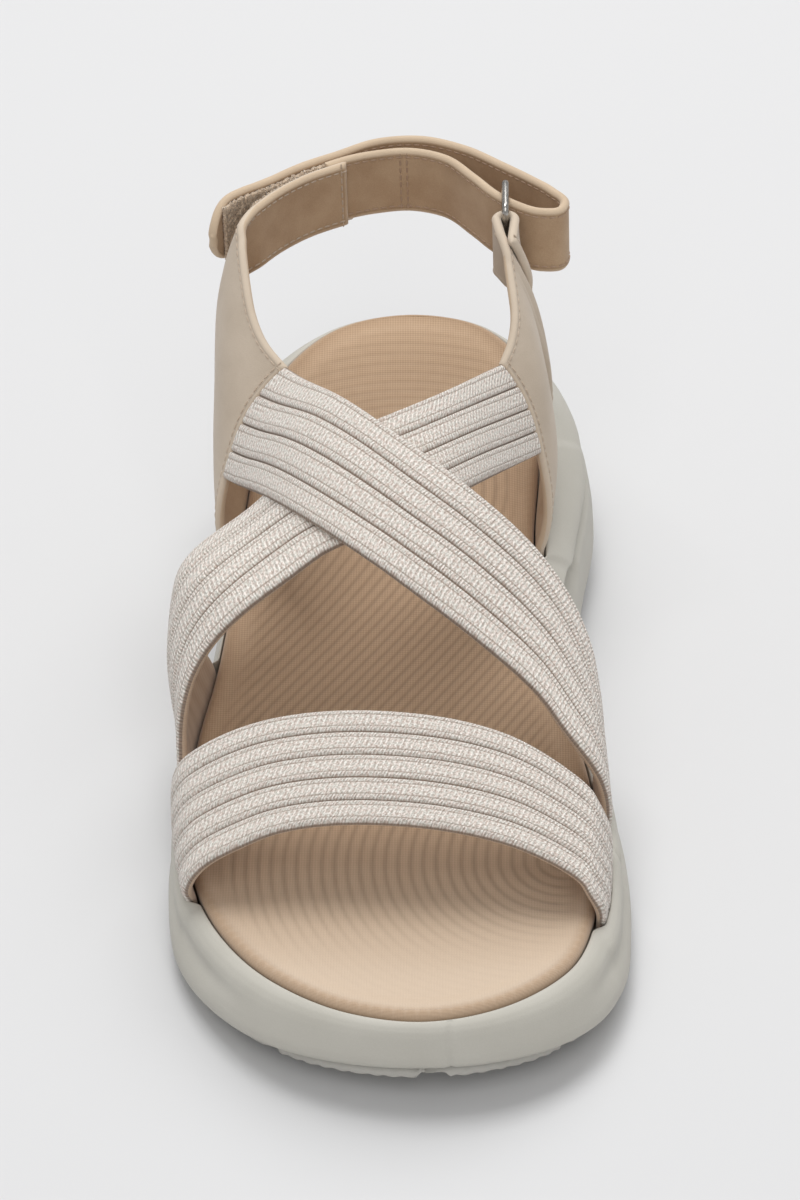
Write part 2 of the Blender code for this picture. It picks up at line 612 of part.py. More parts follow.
def upright(points, bottom=STRAP_BOTTOM, top=STRAP_TOP, plain=False):
    """A standing band over a path seen from above. A plain one has no levels in between."""
    heights = np.concatenate([[bottom], bottom + STRAIGHT + (top - bottom - STRAIGHT) * LEVELS])
    if plain:
        heights = np.array([bottom, top])
    grid = np.zeros((len(points), len(heights), 3))
    grid[..., :2] = points[:, None, :]
    grid[..., 2] = heights
    return grid


def thicken(middle, thick):
    """Inner and outer skins on both sides of a middle surface."""
    out = np.cross(np.gradient(middle, axis=0), np.gradient(middle, axis=1))
    out /= np.linalg.norm(out, axis=-1, keepdims=True)
    return middle - out * thick / 2, middle + out * thick / 2


def offset_path(points, distance):
    """A path seen from above, moved to its left by a distance, which may differ along it."""
    tangent = np.gradient(points, axis=0)
    tangent /= np.linalg.norm(tangent, axis=1, keepdims=True)
    left = np.stack([-tangent[:, 1], tangent[:, 0]], axis=-1)
    return points + left * np.broadcast_to(distance, len(points))[:, None]


def make_lateral_quarter():
    """The lateral quarter runs on round the heel as the first part of the heel strap."""
    rows = quarter_rows(LATERAL_QUARTER, "lateral", np.linspace(0, 1, 15))
    back = upright(path_through(BACK_PATH, np.linspace(0, 1, 7)))
    body = Mesh()
    body.wall(*thicken(np.concatenate([rows[:-1], back]), LEATHER_THICK))
    return body.build("lateral_quarter", "nubuck")


def make_medial_quarter():
    """The medial quarter's end is folded round the ring's front bar and sewn down outside."""
    rows = quarter_rows(MEDIAL_QUARTER, "medial", np.linspace(0, 1, 14))
    bar = np.array([RING_X, RING_FRONT_Y])
    radius = WIRE_RADIUS + GAP + LEATHER_THICK / 2
    turn = np.radians(np.linspace(190, -8, 8))
    eye = upright(bar + radius * np.stack([np.cos(turn), np.sin(turn)], axis=-1), 81.6, 98.4)
    inner, outer = thicken(rows, LEATHER_THICK)
    beside = rows + (outer - inner) / LEATHER_THICK * (LEATHER_THICK + GAP) * side_sign(rows, inner, outer)
    fold = beside[[-2, -3]].copy()
    fold[0, :, 0] += 0.5
    body = Mesh()
    body.wall(*thicken(np.concatenate([rows, eye, fold]), LEATHER_THICK))
    return body.build("medial_quarter", "nubuck")


def side_sign(rows, inner, outer):
    """1 where the outer skin is the one further from the foot's middle, otherwise -1."""
    return np.sign(np.abs(outer[..., 0]).mean() - np.abs(inner[..., 0]).mean())


def strap_path(count):
    """The heel strap from its seam, through the ring, round its fold and back to its tip."""
    back = path_through([(-35.9, 76.0)] + BACK_PATH, np.linspace(0, 1, 60))
    outer = offset_path(back, RUN_SPACE + TIP_FLARE * (1 - fade(back[:, 1], TIP_Y, TIP_Y + 15)))
    closing = outer[(outer[:, 1] > TIP_Y) & (outer[:, 0] < -14)][::-1]
    picks = closing[::6]
    return path_through(STRAP_PATH + [tuple(p) for p in picks], np.linspace(0, 1, count))


def make_heel_strap():
    body = Mesh()
    band = upright(strap_path(54), plain=True)
    tip = band[-3:]
    for row, share in zip(tip, (0.93, 0.78, 0.5)):
        middle = (STRAP_BOTTOM + STRAP_TOP) / 2
        row[:, 2] = middle + (row[:, 2] - middle) * share
    body.wall(*thicken(band, LEATHER_THICK))
    return body.build("heel_strap", "nubuck")


def make_pad(name, distance, first, last):
    """Half of the hook and loop fastener, a thin band between the two runs."""
    path = path_through(BACK_PATH, np.linspace(first, last, 9))
    body = Mesh()
    band = upright(offset_path(path, distance), STRAP_BOTTOM + 1.5, STRAP_TOP - 1.5, plain=True)
    body.wall(*thicken(band, PAD_THICK))
    return body.build(name, "fastener")


# Ring: a rectangular loop of round wire, upright in the strap's way


def make_ring():
    corner = 1.6
    sides = 8
    path = []
    corners = [(RING_REAR_Y - corner, RING_HIGH_Z - corner, 0), (RING_FRONT_Y + corner, RING_HIGH_Z - corner, 90),
               (RING_FRONT_Y + corner, RING_LOW_Z + corner, 180), (RING_REAR_Y - corner, RING_LOW_Z + corner, 270)]
    for y, z, start in corners:
        for turn in np.radians(np.linspace(start, start + 90, 4)):
            path.append((y + corner * math.cos(turn), z + corner * math.sin(turn), turn))
    body = Mesh()
    rings = []
    for y, z, turn in path:
        around = np.linspace(0, 2 * math.pi, sides, endpoint=False)
        out = WIRE_RADIUS * np.cos(around)
        points = np.column_stack([RING_X + WIRE_RADIUS * np.sin(around), y + out * math.cos(turn),
                                  z + out * math.sin(turn)])
        rings.append(body.add(points))
    for one, two in zip(rings, rings[1:] + rings[:1]):
        body.bridge(one, two, closed=True)
    return body.build("ring", "nickel")


for old in list(bpy.data.objects):
    bpy.data.objects.remove(old, do_unlink=True)

make_outsole()
make_midsole()
make_insole()
make_front_strap()
make_cross_straps()
make_lateral_quarter()
make_medial_quarter()
make_heel_strap()
make_pad("loop_pad", LEATHER_THICK / 2 + GAP + PAD_THICK / 2, 0.04, 0.97)
make_pad("hook_pad", RUN_SPACE - LEATHER_THICK / 2 - GAP - PAD_THICK / 2, 0.04, 0.93)
make_ring()
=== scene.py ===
"""Cross strap sandal for the right foot: ribbed webbing straps over a padded footbed on a foam sole.

Sizes are in millimetres and are turned into metres when a mesh is made. X points to the
medial side (the big toe), Y to the heel and Z up. The sections follow the sandal as it is put
together: tread, foam, footbed, straps, quarters, ring and heel strap.
"""
import math

import bmesh
import bpy
import numpy as np
from mathutils import Matrix, Vector


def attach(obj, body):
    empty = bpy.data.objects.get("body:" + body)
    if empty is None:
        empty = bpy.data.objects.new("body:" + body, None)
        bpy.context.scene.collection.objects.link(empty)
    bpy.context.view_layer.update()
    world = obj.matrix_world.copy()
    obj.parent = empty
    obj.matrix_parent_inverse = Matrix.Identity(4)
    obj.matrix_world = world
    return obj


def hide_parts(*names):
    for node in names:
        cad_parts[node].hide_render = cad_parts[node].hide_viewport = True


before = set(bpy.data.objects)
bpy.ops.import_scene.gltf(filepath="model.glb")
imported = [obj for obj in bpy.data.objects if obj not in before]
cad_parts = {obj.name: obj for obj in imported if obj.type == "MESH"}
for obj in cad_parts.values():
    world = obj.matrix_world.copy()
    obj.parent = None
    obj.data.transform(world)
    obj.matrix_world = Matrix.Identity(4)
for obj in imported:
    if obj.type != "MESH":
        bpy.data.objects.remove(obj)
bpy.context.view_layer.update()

# Tread
# A thin sheet of moulded rubber, glued under the foam. Bars run across it, and a long groove
# at the toe lets it bend.

MM = 0.001
OUTLINE_POINTS = 880
TREAD_THICK = 3.0
BAR_PITCH = 17.0
BAR_FIRST_Y = -110.5
BARS = 14
BAR_GROOVE = 3.0
BAR_DEPTH = 1.4
BAR_ROUND = 0.35
TOE_GROOVE = 3.4
TOE_GROOVE_END = (-62, -55)
GROOVE_X_TOE = 9.0
GROOVE_X_HEEL = 2.0
TIP_ZONE = 14.0
ROW_STEP = 2.0
TREAD_INSET = 0.60
TOE_CENTRE = (5.0, -80.0)
TOOTH_TURN = 5.2
TOOTH_DEPTH = 0.45
TOOTH_FROM_EDGE = (2.5, 4.0)
TOOTH_REAR = (-112, -104)
HEEL_UPRIGHT = 0.5
EDGE_RADIUS_BELOW = 0.7
# Steps over a groove's rounded side, in roundings, and columns inside the tread's edge
ROUND_STEPS = np.array([-0.3, 0.3, 1.0])
EDGE_COLUMNS = np.array([0.0, 0.12, 0.4, 0.9])

# Widest outline of the sole and outline of the footbed: x, y from the toe tip round the
# lateral side to the heel, and back along the medial side
SOLE_LATERAL = [(5, -127.8), (-12, -124.5), (-28.5, -115.5), (-41, -101.5), (-49.5, -84),
                (-52.4, -62), (-51, -35), (-46.5, -5), (-43, 28), (-43.5, 62), (-42.5, 90),
                (-33.5, 113), (-17, 124.8), (2, 127.8)]
SOLE_MEDIAL = [(20, 124.8), (36, 113), (45, 94), (47.2, 72), (44.2, 47), (42, 22), (43.5, 0),
               (48.5, -27), (52.8, -52), (53.7, -76), (52, -94), (46.5, -108), (36, -119.3), (22, -126)]
FOOTBED_LATERAL = [(7, -123.1), (-10, -119.4), (-26.5, -107.6), (-39.5, -88.7), (-45.4, -72),
                   (-48, -49), (-46.6, -24), (-42.4, 0), (-38.8, 32), (-36.2, 60), (-33.5, 87),
                   (-27, 105), (-14.5, 118.6), (4, 123.1)]
FOOTBED_MEDIAL = [(20, 118), (30, 105), (34, 87), (34, 66), (32.6, 40), (35.8, 5), (41.5, -20),
                  (45.4, -42), (46.6, -62), (45.3, -86), (39.5, -104.4), (25, -118)]

# Heights along the foot: y, bottom of the sole, footbed's edge, depth of the footbed's dish
HEIGHTS = np.array([
    (-130, 9.5, 25.2, 1.6), (-116, 5.2, 24.4, 2.0), (-100, 1.9, 23.0, 2.0), (-85, 0.15, 22.2, 1.6),
    (-78, 0.0, 22.0, 1.4), (-50, 0.0, 22.0, 1.2), (-25, 0.0, 23.4, 1.2), (-12, 0.5, 24.8, 1.4),
    (10, 1.8, 28.0, 2.0), (34, 0.5, 31.8, 2.8), (46, 0.0, 33.5, 3.2), (75, 0.0, 37.6, 4.0),
    (103, 0.0, 40.8, 4.0), (118, 1.6, 41.8, 3.6), (131, 4.5, 42.3, 3.2),
])


def smooth(knots, values, at):
    """A cubic through each pair of values, whose slope at a knot is the mean of its neighbours'."""
    knots = np.asarray(knots, float)
    values = np.asarray(values, float)
    at = np.clip(np.asarray(at, float), knots[0], knots[-1])
    slopes = np.gradient(values, knots)
    i = np.clip(np.searchsorted(knots, at) - 1, 0, len(knots) - 2)
    span = knots[i + 1] - knots[i]
    t = (at - knots[i]) / span
    return ((2 * t**3 - 3 * t**2 + 1) * values[i] + (t**3 - 2 * t**2 + t) * span * slopes[i]
            + (3 * t**2 - 2 * t**3) * values[i + 1] + (t**3 - t**2) * span * slopes[i + 1])


def fade(value, low, high):
    """0 below low, 1 above high, and 3t^2 - 2t^3 between."""
    t = np.clip((np.asarray(value, float) - low) / (high - low), 0, 1)
    return t * t * (3 - 2 * t)


def run_length(points, axis=0):
    """Distance walked along one direction of a grid of points, from 0 at its start."""
    steps = np.linalg.norm(np.diff(points, axis=axis), axis=-1)
    return np.insert(np.cumsum(steps, axis=axis), 0, 0, axis=axis)


def closed_outline(lateral, medial, count=OUTLINE_POINTS):
    """Smooth curve through both sides' points, each side cut into count / 2 even steps."""
    loop = np.array(lateral + medial, float)
    wrap = 3
    around = np.concatenate([loop[-wrap:], loop, loop[:wrap + 1]])
    knots = run_length(around)
    sides = []
    for first, last in [(wrap, wrap + len(lateral) - 1), (wrap + len(lateral) - 1, wrap + len(loop))]:
        fine = np.linspace(knots[first], knots[last], 3000)
        line = np.stack([smooth(knots, around[:, k], fine) for k in (0, 1)], axis=-1)
        lengths = run_length(line)
        even = np.linspace(0, lengths[-1], count // 2 + 1)
        sides.append(np.stack([np.interp(even, lengths, line[:, k]) for k in (0, 1)], axis=-1)[:-1])
    return np.concatenate(sides)


SOLE = closed_outline(SOLE_LATERAL, SOLE_MEDIAL)
FOOTBED = closed_outline(FOOTBED_LATERAL, FOOTBED_MEDIAL)


def side_lean(level):
    """The wall leans in less from the waist to the heel, but not at its rim."""
    return 1 - HEEL_UPRIGHT * fade(SOLE[:, 1], -40, 60) * (1 - fade(level, 0.75, 1.0))


def edge_x(outline, side, y):
    """x of an outline's lateral or medial side at y."""
    half = len(outline) // 2
    points = outline[:half + 1] if side == "lateral" else np.roll(outline, -half, axis=0)[:half + 1][::-1]
    return np.interp(y, points[:, 1], points[:, 0])


def sole_bottom(y):
    """Height of the sole's underside over the floor."""
    return np.maximum(smooth(HEIGHTS[:, 0], HEIGHTS[:, 1], y), 0)


def make_mesh(name, points, faces, materials, face_material=None, uv=None, edge=None):
    """A mesh object from arrays: points in mm, faces as corner lists, uv and edge a value a point."""
    mesh = bpy.data.meshes.new(name)
    mesh.from_pydata(np.asarray(points, float) * MM, [], faces)
    for one in materials:
        mesh.materials.append(one)
    if face_material is not None:
        mesh.polygons.foreach_set("material_index", np.asarray(face_material, np.int32))
    if uv is not None:
        corners = np.empty(len(mesh.loops), np.int32)
        mesh.loops.foreach_get("vertex_index", corners)
        layer = mesh.uv_layers.new(name="cloth")
        layer.data.foreach_set("uv", np.asarray(uv, float)[corners].ravel())
    if edge is not None:
        values = mesh.attributes.new("edge", "FLOAT", "POINT")
        values.data.foreach_set("value", np.asarray(edge, np.float32).ravel())
    work = bmesh.new()
    work.from_mesh(mesh)
    bmesh.ops.recalc_face_normals(work, faces=work.faces[:])
    work.to_mesh(mesh)
    work.free()
    mesh.shade_smooth()
    piece = bpy.data.objects.new(name, mesh)
    bpy.context.collection.objects.link(piece)
    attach(piece, "root")
    return piece


def grid_faces(index, closed=False):
    """Quads between neighbouring rows and columns of a grid of point numbers."""
    if closed:
        index = np.concatenate([index, index[:, :1]], axis=1)
    a, b, c, d = index[:-1, :-1], index[1:, :-1], index[1:, 1:], index[:-1, 1:]
    return np.stack([a, b, c, d], axis=-1).reshape(-1, 4)


def add(tree, kind, inputs=(), **settings):
    """A node with its settings and inputs. A socket is linked, and any other value is set."""
    made = tree.nodes.new(kind)
    for key, value in settings.items():
        setattr(made, key, value)
    for key, value in dict(inputs).items():
        if isinstance(value, bpy.types.NodeSocket):
            tree.links.new(value, made.inputs[key])
        else:
            made.inputs[key].default_value = value
    return made


def math_node(tree, operation, *values):
    """One Math node's value."""
    return add(tree, "ShaderNodeMath", dict(enumerate(values)), operation=operation).outputs[0]


def times(tree, first, second):
    """A product of two values."""
    return math_node(tree, "MULTIPLY", first, second)


def ramp(tree, value, low, high, floor=0.0, **settings):
    """The floor where the value is low, 1 where it is high, and straight between."""
    inputs = {"Value": value, "From Min": low, "From Max": high, "To Min": floor}
    return add(tree, "ShaderNodeMapRange", inputs, **settings).outputs[0]


def noise(tree, where, scale, detail=2.0):
    """Cloudy noise from 0 to 1."""
    return add(tree, "ShaderNodeTexNoise", {"Vector": where, "Scale": scale, "Detail": detail}).outputs[0]


def mixed(tree, share, first, second, blend="MIX"):
    """Two colours mixed by a share."""
    made = add(tree, "ShaderNodeMix", {0: share, 6: first, 7: second}, data_type="RGBA", blend_type=blend)
    return made.outputs[2]


def new_group(name, inputs, outputs):
    """An empty node group. Each input has its default, or None for a vector, and each output its
    socket type."""
    group = bpy.data.node_groups.new(name, "ShaderNodeTree")
    for key, value in inputs.items():
        kind = {float: "NodeSocketFloat", tuple: "NodeSocketColor"}.get(type(value), "NodeSocketVector")
        socket = group.interface.new_socket(key, in_out="INPUT", socket_type=kind)
        if value is not None:
            socket.default_value = value
    for key, kind in outputs.items():
        group.interface.new_socket(key, in_out="OUTPUT", socket_type=kind)
    start = group.nodes.new("NodeGroupInput").outputs
    end = group.nodes.new("NodeGroupOutput").inputs
    return group, start, end


def new_material(name, roughness, metallic=0.0, **sockets):
    """A material with its node tree and shader. Further sockets of the shader are given by name."""
    made = bpy.data.materials.new(name)
    made.use_nodes = True
    shader = made.node_tree.nodes["Principled BSDF"]
    shader.inputs["Roughness"].default_value = roughness
    shader.inputs["Metallic"].default_value = metallic
    for key, value in sockets.items():
        shader.inputs[key.replace("_", " ")].default_value = value
    return made, made.node_tree, shader


def bumped(tree, shader, height, strength, distance):
    """The height raises the surface by up to the distance in mm."""
    bump = add(tree, "ShaderNodeBump", {"Height": height, "Strength": strength, "Distance": distance * MM})
    tree.links.new(bump.outputs[0], shader.inputs["Normal"])


# Grain: soft blotches of tone and a fine tooth, for every moulded or napped surface
GRAIN, grain_in, grain_out = new_group(
    "grain",
    {"Vector": None, "Light": (1.0, 1.0, 1.0, 1.0), "Dark": (0.5, 0.5, 0.5, 1.0), "Blotch mm": 12.0,
     "Tooth mm": 0.5},
    {"Colour": "NodeSocketColor", "Height": "NodeSocketFloat"})
blotch_scale = math_node(GRAIN, "DIVIDE", 1 / MM, grain_in["Blotch mm"])
tooth_scale = math_node(GRAIN, "DIVIDE", 1 / MM, grain_in["Tooth mm"])
blotches = ramp(GRAIN, noise(GRAIN, grain_in["Vector"], blotch_scale, 3.0), 0.35, 0.65)
tooth = ramp(GRAIN, noise(GRAIN, grain_in["Vector"], tooth_scale), 0.3, 0.7)
grain_share = math_node(GRAIN, "ADD", times(GRAIN, blotches, 0.6), times(GRAIN, tooth, 0.4))
GRAIN.links.new(mixed(GRAIN, grain_share, grain_in["Dark"], grain_in["Light"]), grain_out["Colour"])
GRAIN.links.new(tooth, grain_out["Height"])


def place(tree, group, **inputs):
    """A group placed in a material. An underscore in an input's name stands for a space."""
    made = add(tree, "ShaderNodeGroup", node_tree=group)
    for key, value in inputs.items():
        socket = made.inputs[key.replace("_", " ")]
        if isinstance(value, bpy.types.NodeSocket):
            tree.links.new(value, socket)
        else:
            socket.default_value = value
    return made.outputs


def moulded(name, light, dark, roughness, tooth_mm, depth):
    """Moulded foam or rubber: a close matt skin with a fine tooth."""
    made, tree, shader = new_material(name, roughness, Specular_IOR_Level=0.35)
    where = add(tree, "ShaderNodeTexCoord").outputs["Object"]
    grain = place(tree, GRAIN, Vector=where, Light=light, Dark=dark, Blotch_mm=18.0, Tooth_mm=tooth_mm)
    tree.links.new(grain["Colour"], shader.inputs["Base Color"])
    bumped(tree, shader, grain["Height"], 0.35, depth)
    return made


RUBBER = moulded("tread rubber", (0.52, 0.505, 0.465, 1), (0.46, 0.445, 0.405, 1), 0.62, 0.45, 0.04)


def tread_rows():
    """y of the tread's rows: close together at both tips and at the grooves' sides."""
    outline = SOLE + (FOOTBED - SOLE) * (TREAD_INSET * side_lean(0))[:, None]
    toe, heel = outline[:, 1].min(), outline[:, 1].max()
    tip = TIP_ZONE * (1 - np.cos(np.linspace(0.03, math.pi / 2, 26)))
    middles = BAR_FIRST_Y + BAR_PITCH * np.arange(BARS)
    sides = BAR_GROOVE / 2 + BAR_ROUND * ROUND_STEPS
    walls = (middles[:, None] + np.concatenate([-sides, sides])).ravel()
    middle = np.arange(toe + TIP_ZONE + 1, heel - TIP_ZONE - 1, ROW_STEP)
    rows = np.concatenate([toe + tip, heel - tip, walls, middle])
    return outline, np.unique(np.round(rows[(rows > toe) & (rows < heel)], 3))


def groove_mask(distance, half_width):
    """1 inside a groove, 0 outside it, over a rounded side."""
    return 1 - fade(np.abs(distance), half_width - 0.3 * BAR_ROUND, half_width + BAR_ROUND)


def make_tread():
    """Height = the sole's bottom plus the grooves' depth, a rounded edge and the toe's teeth, on
    rows across the outline."""
    outline, y = tread_rows()
    left, right = edge_x(outline, "lateral", y), edge_x(outline, "medial", y)
    centre = np.interp(y, [y[0], y[-1]], [GROOVE_X_TOE, GROOVE_X_HEEL])
    flex = TOE_GROOVE + BAR_ROUND * ROUND_STEPS
    inset = EDGE_COLUMNS[-1]
    even = np.linspace(0.1, 0.98, 12)
    lateral_width, medial_width = centre - flex[-1] - left - inset, right - inset - centre - flex[-1]
    blocks = [left[:, None] + EDGE_COLUMNS, left[:, None] + inset + lateral_width[:, None] * even,
              centre[:, None] - flex, centre[:, None] + flex,
              right[:, None] - inset - medial_width[:, None] * even, right[:, None] - EDGE_COLUMNS]
    across = np.sort(np.clip(np.concatenate(blocks, axis=1), left[:, None], right[:, None]), axis=1)
    along = np.repeat(y[:, None], across.shape[1], axis=1)
    nearest = np.round((y - BAR_FIRST_Y) / BAR_PITCH)
    cross = groove_mask(y - BAR_FIRST_Y - BAR_PITCH * nearest, BAR_GROOVE / 2)[:, None]
    toe = groove_mask(across - centre[:, None], TOE_GROOVE) * (1 - fade(y, *TOE_GROOVE_END))[:, None]
    edge = np.minimum(across - left[:, None], right[:, None] - across)
    rounding = EDGE_RADIUS_BELOW * (1 - np.sqrt(1 - (1 - np.clip(edge / EDGE_RADIUS_BELOW, 0, 1)) ** 2))
    turn = np.degrees(np.arctan2(across - TOE_CENTRE[0], TOE_CENTRE[1] - along))
    teeth = 0.5 + 0.5 * np.sin(turn / TOOTH_TURN * 2 * math.pi)
    teeth = (TOOTH_DEPTH * fade(teeth, 0.3, 0.7) * (1 - fade(edge, *TOOTH_FROM_EDGE))
             * (1 - fade(along, *TOOTH_REAR)))
    below = sole_bottom(along) + np.maximum(BAR_DEPTH * np.maximum(cross, toe), rounding) + teeth
    above = sole_bottom(along) + TREAD_THICK
    low = np.stack([across, along, below], axis=-1)
    high = np.stack([across, along, above], axis=-1)[:, ::-1]
    loop = np.concatenate([low, high], axis=1)
    rows, count = loop.shape[:2]
    index = np.arange(rows * count).reshape(rows, count)
    faces = grid_faces(index, closed=True).tolist()
    half = count // 2
    for row in (index[0], index[-1]):
        faces += [(row[k], row[k + 1], row[count - k - 2], row[count - k - 1]) for k in range(half - 1)]
    piece = make_mesh("tread", loop.reshape(-1, 3), faces, [RUBBER])
    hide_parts("outsole")


make_tread()

# Foam sole
# One moulded body of light foam with a matt skin. A long scoop runs in each side, a waist
# goes round the heel, and the footbed and the straps' ends sit in a pocket in its top.

GAP = 0.3
POCKET_DEPTH = 5.5
RIM_STEP = 1.5
SLOT_WIDTH = 2.75
SLOT_END = 1.4
SLOTS = [("lateral", -77, -43), ("lateral", -41, 2), ("lateral", 33, 78),
         ("medial", -88, -61), ("medial", -58.5, -40.5), ("medial", 36, 73)]
# The wall from the bottom edge to the rim: share of its height, share of the way in
WALL = np.array([(0.00, 0.50), (0.015, 0.36), (0.04, 0.24), (0.12, 0.07), (0.26, 0.0), (0.36, 0.03),
                 (0.42, 0.07), (0.48, 0.11), (0.56, 0.17), (0.66, 0.25), (0.78, 0.36), (0.90, 0.53),
                 (0.965, 0.70), (0.99, 0.82)])
SCOOP_DEPTH = 4.2
SCOOP_LEVEL = 0.80
SCOOP_HEIGHT = 0.25
SCOOP_EDGE = 0.035
SCOOP_REAR_Y = 48.0
SCOOP_REAR_LENGTH = 16.0
SCOOP_REAR_DROP = 0.07
SCOOP_END = 4.0
SCOOP_FRONT_Y = -42.0
SCOOP_FRONT_LENGTH = 60.0
WAIST_FRONT = (18, 50)
WAIST_DEPTH = 1.7
WAIST_LEVEL = 0.68
WAIST_HEIGHT = 0.06
CREASE_REACH = (-112, -92)
CREASE_LEVEL = 0.62
CREASE_HEIGHT = 0.14
MOULD_LINE_X = 12.9
MOULD_LINE_DEPTH = 0.45
MOULD_LINE_WIDTH = 0.6
FOAM_LEVELS = np.concatenate([np.linspace(0, 0.06, 6)[:-1], np.linspace(0.06, 0.94, 78),
                              [0.955, 0.97, 0.98, 0.99]])
# From the rim down into the pocket: share of the way out to the sole's edge, drop in mm
POCKET_STEPS = [(0.10, 0.0), (0.05, 0.04), (0.02, 0.25), (0.0, 0.6), (0.0, 2.5), (0.0, POCKET_DEPTH)]

FOAM = moulded("sole foam", (0.54, 0.52, 0.465, 1), (0.495, 0.475, 0.42, 1), 0.55, 0.35, 0.03)


def unit(vectors):
    """Vectors of length 1 in the same directions."""
    return vectors / np.linalg.norm(vectors, axis=-1, keepdims=True)


def pushed(outline, distance):
    """The outline moved outwards, square to itself, by a distance that may differ round it."""
    tangent = unit(np.roll(outline, -1, axis=0) - np.roll(outline, 1, axis=0))
    outward = np.stack([-tangent[:, 1], tangent[:, 0]], axis=-1)
    return outline + outward * np.broadcast_to(distance, len(outline))[:, None]


def footbed_edge(y):
    """Height of the footbed's edge."""
    return smooth(HEIGHTS[:, 0], HEIGHTS[:, 2], y)


def stack(name, rings, materials, tops=(None, None), columns=(1, 1)):
    """Rings round the sole, joined one to the next. The first and the last are closed by rows
    from side to side, whose height between the sides is tops(points, share across)."""
    rings = np.asarray(rings, float)
    layers, count = rings.shape[:2]
    half = count // 2
    index = np.arange(layers * count).reshape(layers, count)
    points = [rings.reshape(-1, 3)]
    faces = grid_faces(index, closed=True).tolist()
    total = layers * count
    for ring, top, across in ((index[0], tops[0], columns[0]), (index[-1], tops[1], columns[1])):
        flat = rings.reshape(-1, 3)
        left = flat[ring[1:half]]
        right = flat[ring[:half:-1]]
        share = np.arange(1, across) / across
        inner = left[:, None] + (right - left)[:, None] * share[None, :, None]
        if top is not None:
            inner[..., 2] = top(inner, share)
        numbers = total + np.arange(inner.shape[0] * inner.shape[1]).reshape(inner.shape[:2])
        total += numbers.size
        points.append(inner.reshape(-1, 3))
        rows = np.concatenate([ring[1:half, None], numbers, ring[:half:-1, None]], axis=1)
        faces += grid_faces(rows).tolist()
        faces += [(ring[0], a, b) for a, b in zip(rows[0], rows[0][1:])]
        faces += [(ring[half], b, a) for a, b in zip(rows[-1], rows[-1][1:])]
    return make_mesh(name, np.concatenate(points), faces, materials)


def rim_height(y):
    """Height of the foam's rim, a step below the footbed's edge."""
    return footbed_edge(y) - RIM_STEP


def slot_mask(outline):
    """1 where a strap or quarter goes down beside the footbed, with a soft step at its ends."""
    half = len(outline) // 2
    lateral = np.arange(len(outline)) <= half
    mask = np.zeros(len(outline))
    for side, front, rear in SLOTS:
        here = lateral if side == "lateral" else ~lateral
        begun = fade(outline[:, 1], front - SLOT_END - 1, front - SLOT_END + 2)
        ended = fade(outline[:, 1], rear + SLOT_END - 2, rear + SLOT_END + 1)
        mask = np.maximum(mask, begun * (1 - ended) * here)
    return mask


def side_carving(y, level):
    """How far the foam lies inside its plain form: a scoop with a sharp upper edge and a soft
    lower side, whose rear end is round, a crease and a waist."""
    rear = fade(y, SCOOP_REAR_Y - SCOOP_REAR_LENGTH, SCOOP_REAR_Y)
    front = fade(y, SCOOP_FRONT_Y, SCOOP_FRONT_Y + SCOOP_FRONT_LENGTH)
    below = SCOOP_LEVEL - SCOOP_REAR_DROP * rear - level
    side = np.where(below > 0, np.exp(-(below / (SCOOP_HEIGHT * (1 - 0.5 * rear))) ** 2),
                    1 - fade(-below, 0, SCOOP_EDGE))
    scoop = SCOOP_DEPTH * (1 - fade(y, SCOOP_REAR_Y - SCOOP_END, SCOOP_REAR_Y)) * front * side
    crease = (1 - front) * fade(y, *CREASE_REACH) * np.exp(-((level - CREASE_LEVEL) / CREASE_HEIGHT) ** 2)
    waist = WAIST_DEPTH * fade(y, *WAIST_FRONT) * np.exp(-((level - WAIST_LEVEL) / WAIST_HEIGHT) ** 2)
    return scoop + crease + waist


def make_foam_sole():
    """Rings at rising shares of the wall's height, each the outline drawn in by its own share.
    The mould's parting line is a shallow Gaussian groove at the toe."""
    pocket = pushed(FOOTBED, GAP + (SLOT_WIDTH - GAP) * slot_mask(FOOTBED))
    low = sole_bottom(SOLE[:, 1]) + TREAD_THICK + GAP * 0.3
    high = rim_height(FOOTBED[:, 1])
    rings = []
    for level in FOAM_LEVELS:
        inward = smooth(WALL[:, 0], WALL[:, 1], level)
        if level < WALL[2, 0]:
            inward = np.interp(level, WALL[:, 0], WALL[:, 1])
        plain = SOLE + (pocket - SOLE) * (inward * side_lean(level))[:, None]
        from_line = (plain[:, 0] - MOULD_LINE_X) / MOULD_LINE_WIDTH
        parting = MOULD_LINE_DEPTH * np.exp(-from_line ** 2) * (plain[:, 1] < -100)
        carved = pushed(plain, -side_carving(plain[:, 1], level) - parting)
        rings.append(np.column_stack([carved, low + (high - low) * level]))
    for share, drop in POCKET_STEPS:
        rings.append(np.column_stack([pocket + (SOLE - pocket) * share, high - drop]))
    piece = stack("foam_sole", rings, [FOAM])
    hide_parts("midsole")


make_foam_sole()

# Footbed
# Padded textile, glued into the foam's pocket: rounded edges, a hollow under the heel, a fine
# twill face, and shallow pressed lines that wander along the foot.

EDGE_ROUND = 1.9
DISH_ROWS = 72
LINE_PITCH = 2.9
TOE_ARC = (40.0, -66.0)
HEEL_ARC = (1.0, 66.0)
HEEL_LINES = (40, 85)
DISH_TOE_END = (-123, -100)
DISH_HEEL_END = (98, 123)
RIPPLE_DEPTH = 1.6
VALLEY_INSET = 4.4
VALLEY_REACH = 2.6
VALLEY_DEPTH = 2.6
# Painted light: the paler tone that the footbed takes on towards its toe, where more light falls
TOE_PAINTED_LIGHT = (0.65, 0.53, 0.41, 1)
# Slope of the lines in the midfoot, sideways for each step to the heel
LINE_SLOPES = np.array([(-66, 0.0), (-45, 0.45), (-20, 0.65), (20, 0.65), (50, 0.35), (80, 0.0),
                        (125, 0.0)])


